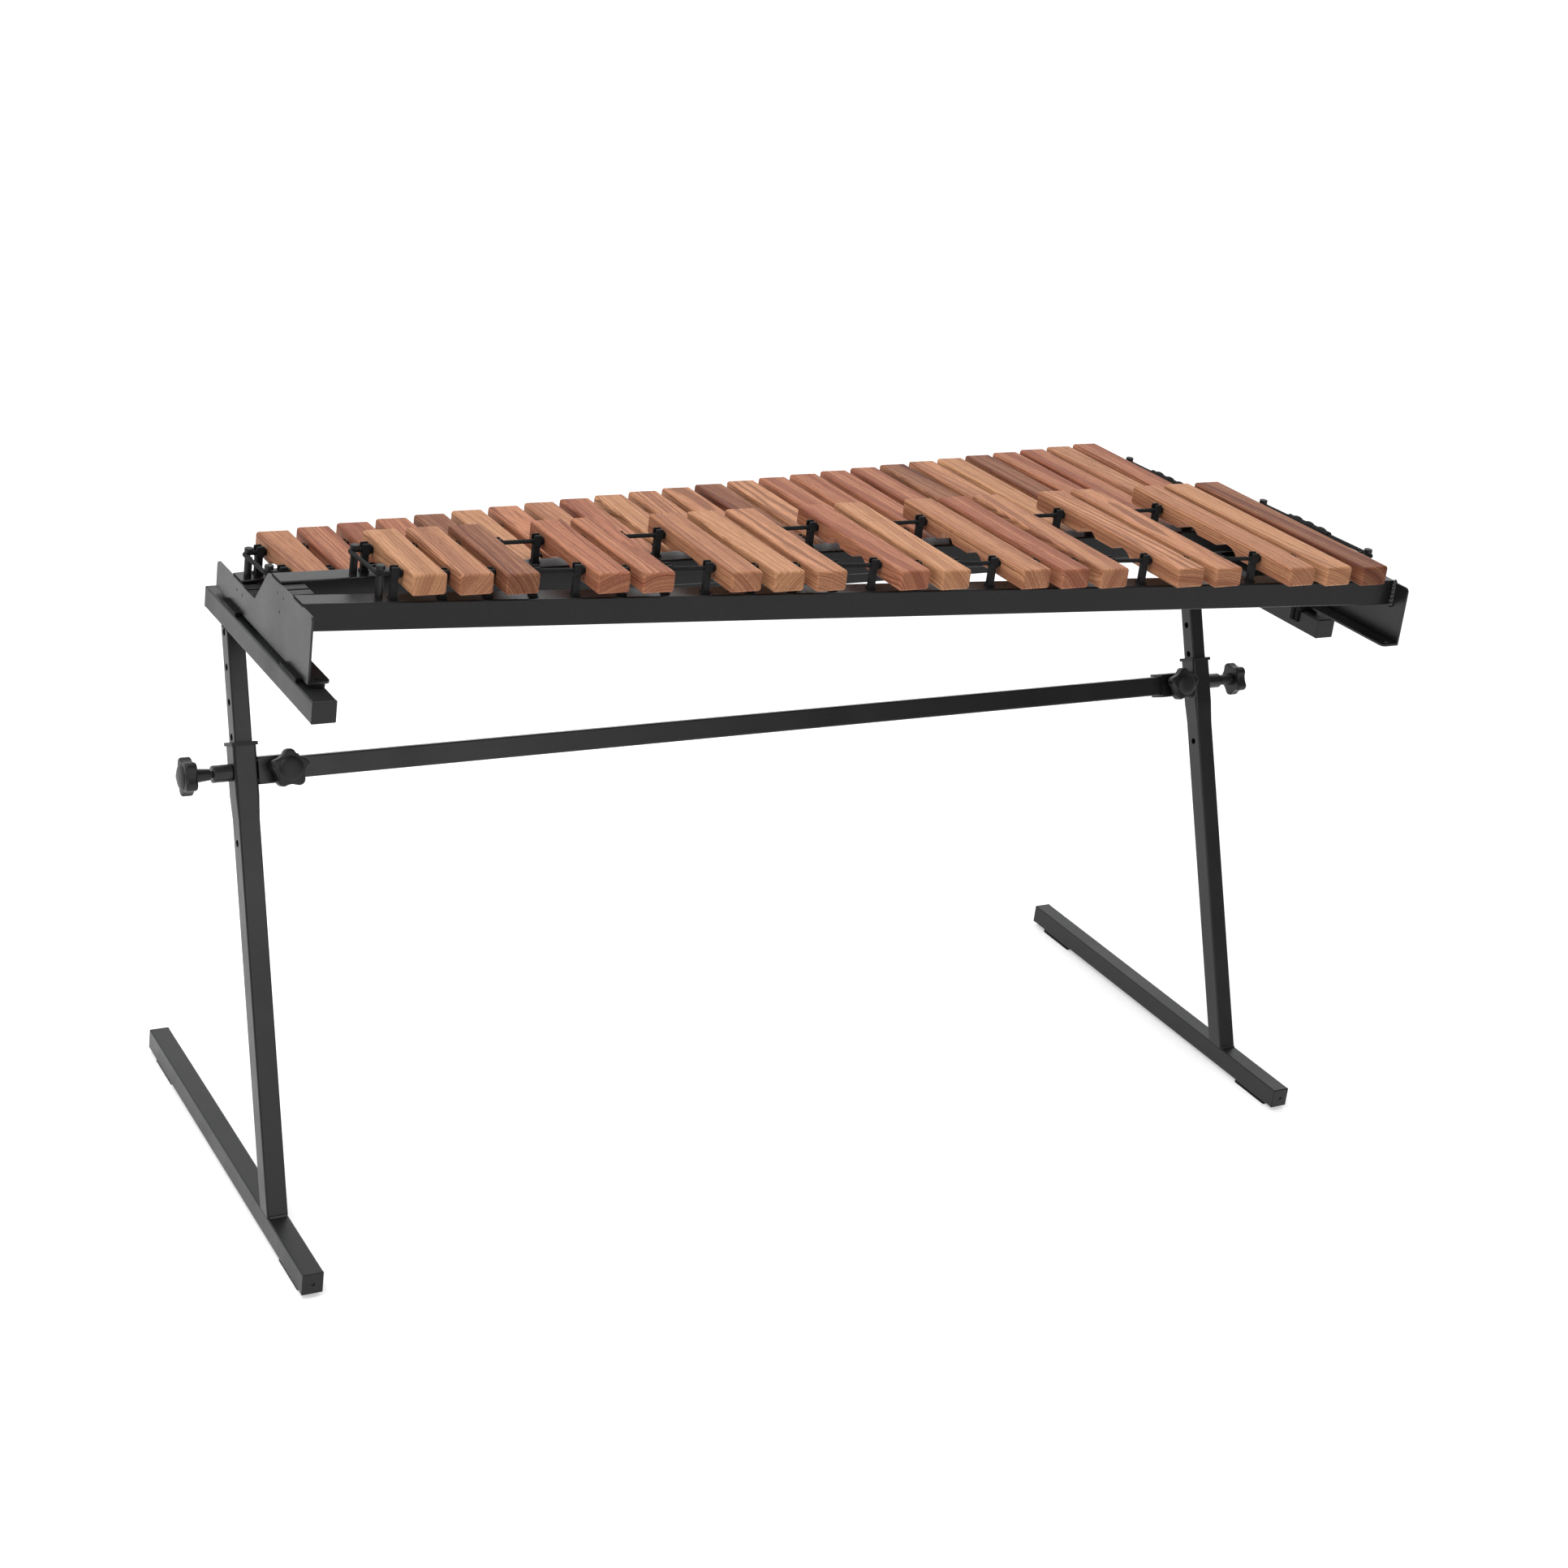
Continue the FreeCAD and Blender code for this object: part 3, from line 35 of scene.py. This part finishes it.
class Graph:
    """A material's node tree, with short calls for the nodes that the materials below share."""

    def __init__(self, name):
        self.material = bpy.data.materials.new(name)
        self.material.use_nodes = True
        self.tree = self.material.node_tree
        self.tree.nodes.clear()
        self.shader = self.node("ShaderNodeBsdfPrincipled")
        output = self.node("ShaderNodeOutputMaterial")
        self.link(self.shader.outputs["BSDF"], output.inputs["Surface"])
        coordinates = self.node("ShaderNodeTexCoord")
        self.place = coordinates.outputs["Object"]
        self.normal = coordinates.outputs["Normal"]

    def node(self, kind, **settings):
        made = self.tree.nodes.new(kind)
        for key, value in settings.items():
            setattr(made, key, value)
        return made

    def link(self, source, target):
        self.tree.links.new(source, target)

    def feed(self, socket, value):
        """Link an output to the socket, or set the socket to a plain value."""
        if isinstance(value, bpy.types.NodeSocket):
            self.link(value, socket)
        else:
            socket.default_value = value

    def math(self, operation, *values):
        made = self.node("ShaderNodeMath", operation=operation)
        for socket, value in zip(made.inputs, values):
            self.feed(socket, value)
        return made.outputs[0]

    def add(self, first, second):
        return self.math("ADD", first, second)

    def less(self, first, second):
        return self.math("SUBTRACT", first, second)

    def times(self, first, second):
        return self.math("MULTIPLY", first, second)

    def split(self, source):
        made = self.node("ShaderNodeSeparateXYZ")
        self.link(source, made.inputs[0])
        return made.outputs

    def join(self, x, y, z):
        made = self.node("ShaderNodeCombineXYZ")
        for socket, value in zip(made.inputs, (x, y, z)):
            self.feed(socket, value)
        return made.outputs[0]

    def noise(self, where, scale, detail, roughness=0.5):
        made = self.node("ShaderNodeTexNoise")
        self.link(where, made.inputs["Vector"])
        made.inputs["Scale"].default_value = scale
        made.inputs["Detail"].default_value = detail
        made.inputs["Roughness"].default_value = roughness
        return made.outputs["Fac"]

    def line_noise(self, where, detail, roughness=0.5):
        """Noise over a single number, with one feature for each unit of it."""
        made = self.node("ShaderNodeTexNoise", noise_dimensions="1D")
        self.link(where, made.inputs["W"])
        made.inputs["Scale"].default_value = 1.0
        made.inputs["Detail"].default_value = detail
        made.inputs["Roughness"].default_value = roughness
        return made.outputs["Fac"]

    def ramp(self, source, stops, interpolation="LINEAR"):
        """stops is a list of (position, grey value or colour)."""
        made = self.node("ShaderNodeValToRGB")
        made.color_ramp.interpolation = interpolation
        elements = made.color_ramp.elements
        while len(elements) > 1:
            elements.remove(elements[-1])
        for number, (position, colour) in enumerate(stops):
            element = elements[0] if number == 0 else elements.new(position)
            element.position = position
            rgb = (colour,) * 3 if isinstance(colour, (int, float)) else colour
            element.color = rgb + (1.0,)
        self.link(source, made.inputs["Fac"])
        return made.outputs["Color"]

    def spread(self, source, low, high, low_in=0.0, high_in=1.0):
        """Map the source from low_in...high_in to low...high, and hold it there."""
        made = self.node("ShaderNodeMapRange")
        made.inputs["From Min"].default_value = low_in
        made.inputs["From Max"].default_value = high_in
        made.inputs["To Min"].default_value = low
        made.inputs["To Max"].default_value = high
        self.link(source, made.inputs["Value"])
        return made.outputs["Result"]

    def mix(self, amount, first, second):
        """first where the amount is 0, second where it is 1. Either is an output or a colour."""
        made = self.node("ShaderNodeMix", data_type="RGBA")
        self.feed(made.inputs["Factor"], amount)
        for name, value in (("A", first), ("B", second)):
            socket = [s for s in made.inputs if s.name == name and s.type == "RGBA"][0]
            if isinstance(value, tuple):
                value = value + (1.0,)
            self.feed(socket, value)
        return [s for s in made.outputs if s.type == "RGBA"][0]

    def bump(self, height, distance, strength, before=None):
        made = self.node("ShaderNodeBump")
        made.inputs["Strength"].default_value = strength
        made.inputs["Distance"].default_value = distance
        self.link(height, made.inputs["Height"])
        if before is not None:
            self.link(before, made.inputs["Normal"])
        return made.outputs["Normal"]

    def finish(self, **values):
        """Set the shader's inputs, with _ for a space in their names, and give the material."""
        for name, value in values.items():
            self.feed(self.shader.inputs[name.replace("_", " ")], value)
        return self.material


# ------------------------------------------------------------------ black materials

# Noise scales are features in a metre, and distances of relief are metres.
COAT_BLACK = (0.0048, 0.0049, 0.0053)
COAT_DUST = (0.04, 0.041, 0.043)
COAT_SPECK = (0.06, 0.06, 0.063)
COAT_COVER = 0.16


def powder_coat(name, base=COAT_BLACK, gloss=0.30, specular=0.42):
    """Black powder coat: a fine orange-peel skin, faint cloudiness, and dust on what faces up."""
    g = Graph(name)
    cloud = g.noise(g.place, scale=9.0, detail=4.0, roughness=0.6)
    grain = g.noise(g.place, scale=800.0, detail=3.0, roughness=0.7)
    peel = g.noise(g.place, scale=420.0, detail=2.0)
    speck = g.ramp(grain, [(0.35, 0.0), (0.62, 0.35), (0.75, 1.0)])
    up = g.spread(g.split(g.normal)[2], 0.0, 1.0, low_in=0.35)
    dust = g.times(up, g.spread(cloud, 0.25, 0.8, low_in=0.35, high_in=0.7))
    tone = g.mix(g.times(dust, COAT_COVER), base, COAT_DUST)
    tone = g.mix(g.times(speck, COAT_COVER), tone, COAT_SPECK)
    rough = g.spread(cloud, gloss - 0.05, gloss + 0.08, low_in=0.35, high_in=0.7)
    rough = g.add(rough, g.times(grain, 0.06))
    skin = g.bump(peel, distance=0.00008, strength=0.35)
    relief = g.bump(grain, distance=0.00016, strength=0.6, before=skin)
    return g.finish(Base_Color=tone, Roughness=rough, Normal=relief, Specular_IOR_Level=specular)


def moulded_plastic(name, rough=0.46):
    """Moulded black plastic with a spark-eroded texture."""
    g = Graph(name)
    fine = g.noise(g.place, scale=2200.0, detail=2.0, roughness=0.7)
    blotch = g.noise(g.place, scale=60.0, detail=3.0, roughness=0.6)
    pale = g.spread(blotch, 0.0, 0.5, low_in=0.35, high_in=0.75)
    tone = g.mix(pale, (0.004, 0.004, 0.0043), (0.010, 0.010, 0.0105))
    shine = g.spread(blotch, rough - 0.05, rough + 0.08, low_in=0.3, high_in=0.7)
    relief = g.bump(fine, distance=0.00007, strength=0.6)
    return g.finish(Base_Color=tone, Roughness=shine, Normal=relief, Specular_IOR_Level=0.36)


def rubber(name, base=(0.0025, 0.0025, 0.0027), specular=0.14):
    """Matt black rubber with a faint bloom."""
    g = Graph(name)
    fine = g.noise(g.place, scale=900.0, detail=4.0, roughness=0.65)
    bloom = g.noise(g.place, scale=45.0, detail=3.0, roughness=0.6)
    tone = g.mix(g.spread(bloom, 0.0, 0.6, low_in=0.4, high_in=0.75), base, (0.006, 0.006, 0.0062))
    shine = g.spread(bloom, 0.55, 0.75, low_in=0.3, high_in=0.7)
    relief = g.bump(fine, distance=0.00008, strength=0.6)
    return g.finish(Base_Color=tone, Roughness=shine, Normal=relief, Specular_IOR_Level=specular)


def braided_cord(name, pitch=3.2 * MM):
    """A black braid: two sets of strands that wind round the cord in opposite directions."""
    g = Graph(name)
    x, y, _ = g.split(g.place)
    turns = 2 * math.pi / pitch
    along = g.add(g.times(x, turns), g.times(y, turns))
    across = g.times(g.split(g.normal)[2], 3.0)
    weave = g.times(g.math("SINE", g.add(along, across)), g.math("SINE", g.less(along, across)))
    strand = g.spread(weave, 0.0, 1.0, low_in=-0.6, high_in=0.8)
    tone = g.mix(strand, (0.0022, 0.0022, 0.0024), (0.010, 0.010, 0.0105))
    fuzz = g.noise(g.place, scale=1800.0, detail=2.0, roughness=0.6)
    rough = g.spread(fuzz, 0.6, 0.8)
    hairs = g.bump(fuzz, distance=0.00008, strength=0.5)
    relief = g.bump(weave, distance=0.0004, strength=0.6, before=hairs)
    return g.finish(Base_Color=tone, Roughness=rough, Normal=relief, Specular_IOR_Level=0.2)


def blackened_steel(name):
    """Bare steel of the studs and screws, darkened by oil."""
    g = Graph(name)
    turned = g.noise(g.place, scale=700.0, detail=2.0)
    bright = g.spread(turned, 0.0, 1.0, low_in=0.3, high_in=0.7)
    tone = g.mix(bright, (0.02, 0.02, 0.021), (0.06, 0.06, 0.062))
    shine = g.spread(turned, 0.28, 0.42, low_in=0.3, high_in=0.7)
    relief = g.bump(turned, distance=0.00004, strength=0.5)
    return g.finish(Base_Color=tone, Roughness=shine, Metallic=0.85, Normal=relief)


# ------------------------------------------------------------------ rosewood

BAR_PITCH = 51.45 * MM
BAR_WIDTH = 40 * MM

# Tones of the bars: honey, amber, red, plum. Two colours each: the ground and the dark figure.
TONES = {
    "H": ((0.460, 0.232, 0.122), (0.180, 0.070, 0.034)),
    "A": ((0.410, 0.184, 0.098), (0.130, 0.046, 0.024)),
    "R": ((0.355, 0.130, 0.072), (0.110, 0.032, 0.018)),
    "P": ((0.195, 0.066, 0.034), (0.056, 0.016, 0.010)),
}
PALE_STREAK = (0.56, 0.31, 0.16)
OPEN_PORE = (0.03, 0.010, 0.006)

# One letter for each place in the row, from the short end. A space is a place without a bar.
NATURAL_TONES = "ARRRPHRARHAAPARRRRPAHPRRAR"
ACCIDENTAL_TONES = "  HAP RR AHA RH ARA AA AHP"

# The logs, in metres. Each span is the whole range that chance or noise picks from: the heart's
# place to the side of the bar, its depth below the bar's top beyond the least one, its sideways
# drift over a metre of the bar, and the two ways that the rings stray from circles.
HEART_SIDE_SPAN = 0.24
HEART_DEPTH = 0.040
HEART_DEPTH_SPAN = 0.10
HEART_DRIFT_SPAN = 0.16
RING_SWAY_SPAN = 0.010
RING_WOBBLE_SPAN = 0.0018
RINGS_PER_METRE = 620.0
STREAKS_PER_METRE = 70.0
# From one bar to the next, every noise is read this much further on.
LOG_STEP = 3.7


def rings(g, middle, top, chance, shift):
    """The fine bands and the broad streaks of a log's rings, each from 0 to 1.

    The rings are cylinders about an axis that runs nearly along the bar: they show as stripes on
    the bar's faces and as arcs on its ends.
    """
    x, y, z = g.split(g.place)
    drift = g.times(g.less(chance[2], 0.5), HEART_DRIFT_SPAN)
    side = g.add(g.less(x, middle), g.times(g.less(chance[0], 0.5), HEART_SIDE_SPAN))
    side = g.add(side, g.times(y, drift))
    depth = g.add(g.less(z, top), g.add(g.times(chance[1], HEART_DEPTH_SPAN), HEART_DEPTH))
    flow = g.join(g.add(x, shift), g.times(y, 0.16), z)
    sway = g.less(g.noise(flow, scale=16.0, detail=2.0), 0.5)
    wobble = g.less(g.noise(flow, scale=60.0, detail=2.0, roughness=0.6), 0.5)
    radius = g.math("SQRT", g.add(g.times(side, side), g.times(depth, depth)))
    radius = g.add(radius, g.times(sway, RING_SWAY_SPAN))
    radius = g.add(radius, g.times(wobble, RING_WOBBLE_SPAN))
    fine = g.add(g.times(radius, RINGS_PER_METRE), g.times(shift, 5.0))
    fine = g.line_noise(fine, detail=3.0, roughness=0.62)
    broad = g.line_noise(g.add(g.times(radius, STREAKS_PER_METRE), shift), detail=1.0)
    band = g.spread(fine, 0.0, 1.0, low_in=0.36, high_in=0.58)
    streak = g.spread(broad, 0.0, 1.0, low_in=0.36, high_in=0.62)
    return band, streak


def fibres(g, shift):
    """Fibres and open pores: long thin dashes along the bar."""
    x, y, z = g.split(g.place)
    across = g.add(x, shift)
    drawn = g.join(across, g.times(y, 0.035), z)
    fibre = g.noise(drawn, scale=700.0, detail=4.0, roughness=0.72)
    dashes = g.join(across, g.times(y, 0.05), z)
    pores = g.noise(dashes, scale=1600.0, detail=1.0, roughness=0.4)
    return fibre, g.spread(pores, 0.0, 1.0, low_in=0.66, high_in=0.74)


def rosewood(name, first_left, top, tones, seed):
    """Oiled rosewood. Each bar is cut from its own log: rings, fibres and tone change with it."""
    g = Graph(name)
    x, _, _ = g.split(g.place)
    row_start = first_left - (BAR_PITCH - BAR_WIDTH) / 2
    count = g.math("FLOOR", g.math("DIVIDE", g.less(x, row_start), BAR_PITCH))
    own = g.node("ShaderNodeTexWhiteNoise", noise_dimensions="1D")
    g.link(g.add(count, seed), own.inputs["W"])
    chance = g.split(own.outputs["Color"])
    shift = g.times(count, LOG_STEP)
    middle = g.add(g.times(count, BAR_PITCH), first_left + BAR_WIDTH / 2)
    band, streak = rings(g, middle, top, chance, shift)
    fibre, pore = fibres(g, shift)

    columns = len(tones)
    where = g.math("DIVIDE", g.add(count, 0.5), float(columns))
    bars = [(k / columns, TONES[letter]) for k, letter in enumerate(tones) if letter != " "]
    ground = g.ramp(where, [(start, pair[0]) for start, pair in bars], "CONSTANT")
    figure = g.ramp(where, [(start, pair[1]) for start, pair in bars], "CONSTANT")

    endwise = g.math("ABSOLUTE", g.split(g.normal)[1])
    cut_end = g.spread(endwise, 0.0, 0.18, low_in=0.85, high_in=0.98)
    light = g.mix(g.times(streak, 0.26), ground, PALE_STREAK)
    light = g.mix(g.spread(streak, 0.34, 0.0, high_in=0.55), light, figure)
    tone = g.mix(g.times(g.less(1.0, band), 0.72), light, figure)
    tone = g.mix(g.spread(fibre, 0.0, 0.62, low_in=0.44, high_in=0.68), tone, figure)
    tone = g.mix(cut_end, tone, figure)
    tone = g.mix(g.times(pore, 0.45), tone, OPEN_PORE)
    rough = g.add(g.spread(fibre, 0.46, 0.60), g.times(pore, 0.2))
    relief = g.bump(g.less(g.times(fibre, 0.4), pore), distance=0.00012, strength=0.45)
    return g.finish(Base_Color=tone, Roughness=rough, Normal=relief, Specular_IOR_Level=0.1)


# ------------------------------------------------------------------ each node's material

STEEL = powder_coat("black_powder_coat")
SHEET_STEEL = powder_coat("black_powder_coat_sheet", gloss=0.28)
TUBE_STEEL = powder_coat("black_powder_coat_tube", gloss=0.32, specular=0.3)
# The rails' coat is a darker, less reflective copy of the same powder coat. Its darker base colour
# and weaker specular are painted shade, for the shade that the rails lie in under the bars.
RAIL_STEEL_PAINTED_SHADE = powder_coat(
    "black_powder_coat_rail_painted_shade", base=(0.003, 0.0031, 0.0034), gloss=0.26, specular=0.24
)
WELD_STEEL = powder_coat("black_powder_coat_weld", gloss=0.16, specular=0.5)
PLASTIC = moulded_plastic("moulded_black_plastic")
KNOB_PLASTIC = moulded_plastic("knob_plastic", rough=0.42)
RUBBER = rubber("black_rubber")
POST_RUBBER = rubber("post_rubber", base=(0.0028, 0.0028, 0.003), specular=0.24)
CORD = braided_cord("braided_cord")
BOLT = blackened_steel("blackened_steel")

natural_low, natural_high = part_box("natural_bars_octave_1")
accidental_low, accidental_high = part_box("accidental_bars_octave_1")
NATURAL_WOOD = rosewood(
    "rosewood_naturals", natural_low.x, natural_high.z, NATURAL_TONES, seed=3.0
)
# The accidental row's first bar is at the third place of the row.
ACCIDENTAL_WOOD = rosewood(
    "rosewood_accidentals",
    accidental_low.x - 2 * BAR_PITCH,
    accidental_high.z,
    ACCIDENTAL_TONES,
    seed=61.0,
)

SLOT_MATERIALS = {
    "powder_coated_steel": STEEL,
    "black_plastic": PLASTIC,
    "black_rubber": RUBBER,
    "post_rubber": POST_RUBBER,
    "black_cord": CORD,
    "plated_steel": BOLT,
}


def material_of(node, slot):
    """The material of a node's slot, or its own where a node looks different from the others."""
    if slot == "rosewood":
        return NATURAL_WOOD if node.startswith("natural") else ACCIDENTAL_WOOD
    if "knob" in node and slot == "black_plastic":
        return KNOB_PLASTIC
    if node.startswith("end_plate"):
        return SHEET_STEEL
    if node.startswith(("arm", "foot")):
        return TUBE_STEEL
    # The rails take the copy of the coat with painted shade.
    if "rail_near" in node or "rail_far" in node:
        return RAIL_STEEL_PAINTED_SHADE
    if "weld" in node:
        return WELD_STEEL
    return SLOT_MATERIALS[slot]


for part in frame["record"]["subparts"]:
    piece = frame["nodes"][part["node"]]
    piece.data.materials.clear()
    piece.data.materials.append(material_of(part["node"], part["material_slot"]))

# ------------------------------------------------------------------ floor, light and camera

# The room's brightness, from the player's side to the wall behind the instrument.
BACK_WALL = (-0.30, 0.95, 0.0)
ROOM_FADE = (-0.45, 0.5)
ROOM_LIGHT = (0.2, 1.3)
ROOM_TINT = (0.985, 0.99, 1.0, 1.0)

FLOOR_REACH = 30.0
FLOOR_GLOW = 0.40

# Name, place, aimed at, width in metres and power in watts.
LAMPS = (
    ("key", (-1.7, -0.9, 2.7), (0.0, 0.0, 0.7), 1.4, 30.0),
    ("front", (0.3, -3.6, 1.9), (-0.4, 0.0, 0.5), 2.6, 34.0),
    ("top", (0.25, 0.1, 2.2), (0.1, 0.0, 0.7), 1.5, 18.0),
)

LENS_MM = 62.07
SENSOR_MM = 36.0
SHIFT_Y = -0.1047
CAMERA_PLACE = Vector((-1649.07, -2693.62, 1753.06)) * MM
# Radians: to the right of +Y, above the level, and about the line of sight.
YAW, TILT, ROLL = 0.54642, -0.33733, 0.12614


def sky():
    """A pale room: a white wall behind the instrument, dimmer surroundings on the player's side."""
    world = bpy.data.worlds.new("studio")
    world.use_nodes = True
    nodes, links = world.node_tree.nodes, world.node_tree.links
    where = nodes.new("ShaderNodeTexCoord")
    facing = nodes.new("ShaderNodeVectorMath")
    facing.operation = "DOT_PRODUCT"
    facing.inputs[1].default_value = BACK_WALL
    links.new(where.outputs["Generated"], facing.inputs[0])
    level = nodes.new("ShaderNodeMapRange")
    level.interpolation_type = "SMOOTHSTEP"
    level.inputs["From Min"].default_value = ROOM_FADE[0]
    level.inputs["From Max"].default_value = ROOM_FADE[1]
    level.inputs["To Min"].default_value = ROOM_LIGHT[0]
    level.inputs["To Max"].default_value = ROOM_LIGHT[1]
    links.new(facing.outputs["Value"], level.inputs["Value"])
    background = nodes["Background"]
    background.inputs["Color"].default_value = ROOM_TINT
    links.new(level.outputs["Result"], background.inputs["Strength"])
    bpy.context.scene.world = world


def ground():
    """A large pale floor with a faint, even glow, reaching far into the room."""
    signs = [(-1, -1), (1, -1), (1, 1), (-1, 1)]
    corners = [(FLOOR_REACH * x, FLOOR_REACH * y, 0) for x, y in signs]
    mesh = bpy.data.meshes.new("floor")
    mesh.from_pydata(corners, [], [(0, 1, 2, 3)])
    floor = bpy.data.objects.new("floor", mesh)
    bpy.context.scene.collection.objects.link(floor)
    g = Graph("floor_paint")
    tone = g.mix(g.noise(g.place, scale=1.2, detail=2.0), (0.82, 0.82, 0.82), (0.86, 0.86, 0.86))
    glow = {"Emission_Color": (1.0, 1.0, 1.0, 1.0), "Emission_Strength": FLOOR_GLOW}
    floor.data.materials.append(g.finish(Base_Color=tone, Roughness=0.9, **glow))


def lamp(name, place, target, width, power):
    """A square softbox that lights the object and isn't seen itself."""
    light = bpy.data.lights.new(name, "AREA")
    light.shape = "SQUARE"
    light.size = width
    light.energy = power
    obj = bpy.data.objects.new(name, light)
    obj.location = place
    obj.rotation_mode = "QUATERNION"
    obj.rotation_quaternion = (Vector(target) - Vector(place)).to_track_quat("-Z", "Y")
    obj.visible_camera = False
    bpy.context.scene.collection.objects.link(obj)


def camera():
    data = bpy.data.cameras.new("camera")
    data.lens = LENS_MM
    data.sensor_width = SENSOR_MM
    data.shift_y = SHIFT_Y
    obj = bpy.data.objects.new("camera", data)
    bpy.context.scene.collection.objects.link(obj)
    level = math.cos(TILT)
    forward = Vector((math.sin(YAW) * level, math.cos(YAW) * level, math.sin(TILT)))
    right = Vector((math.cos(YAW), -math.sin(YAW), 0.0))
    up = right.cross(forward)
    image_right = right * math.cos(ROLL) + up * math.sin(ROLL)
    image_up = up * math.cos(ROLL) - right * math.sin(ROLL)
    axes = Matrix((image_right, image_up, -forward)).transposed()
    obj.matrix_world = Matrix.Translation(CAMERA_PLACE) @ axes.to_4x4()
    bpy.context.scene.camera = obj


sky()
ground()
for name, place, target, width, power in LAMPS:
    lamp(name, place, target, width, power)
camera()
bpy.context.scene.view_settings.view_transform = "Standard"
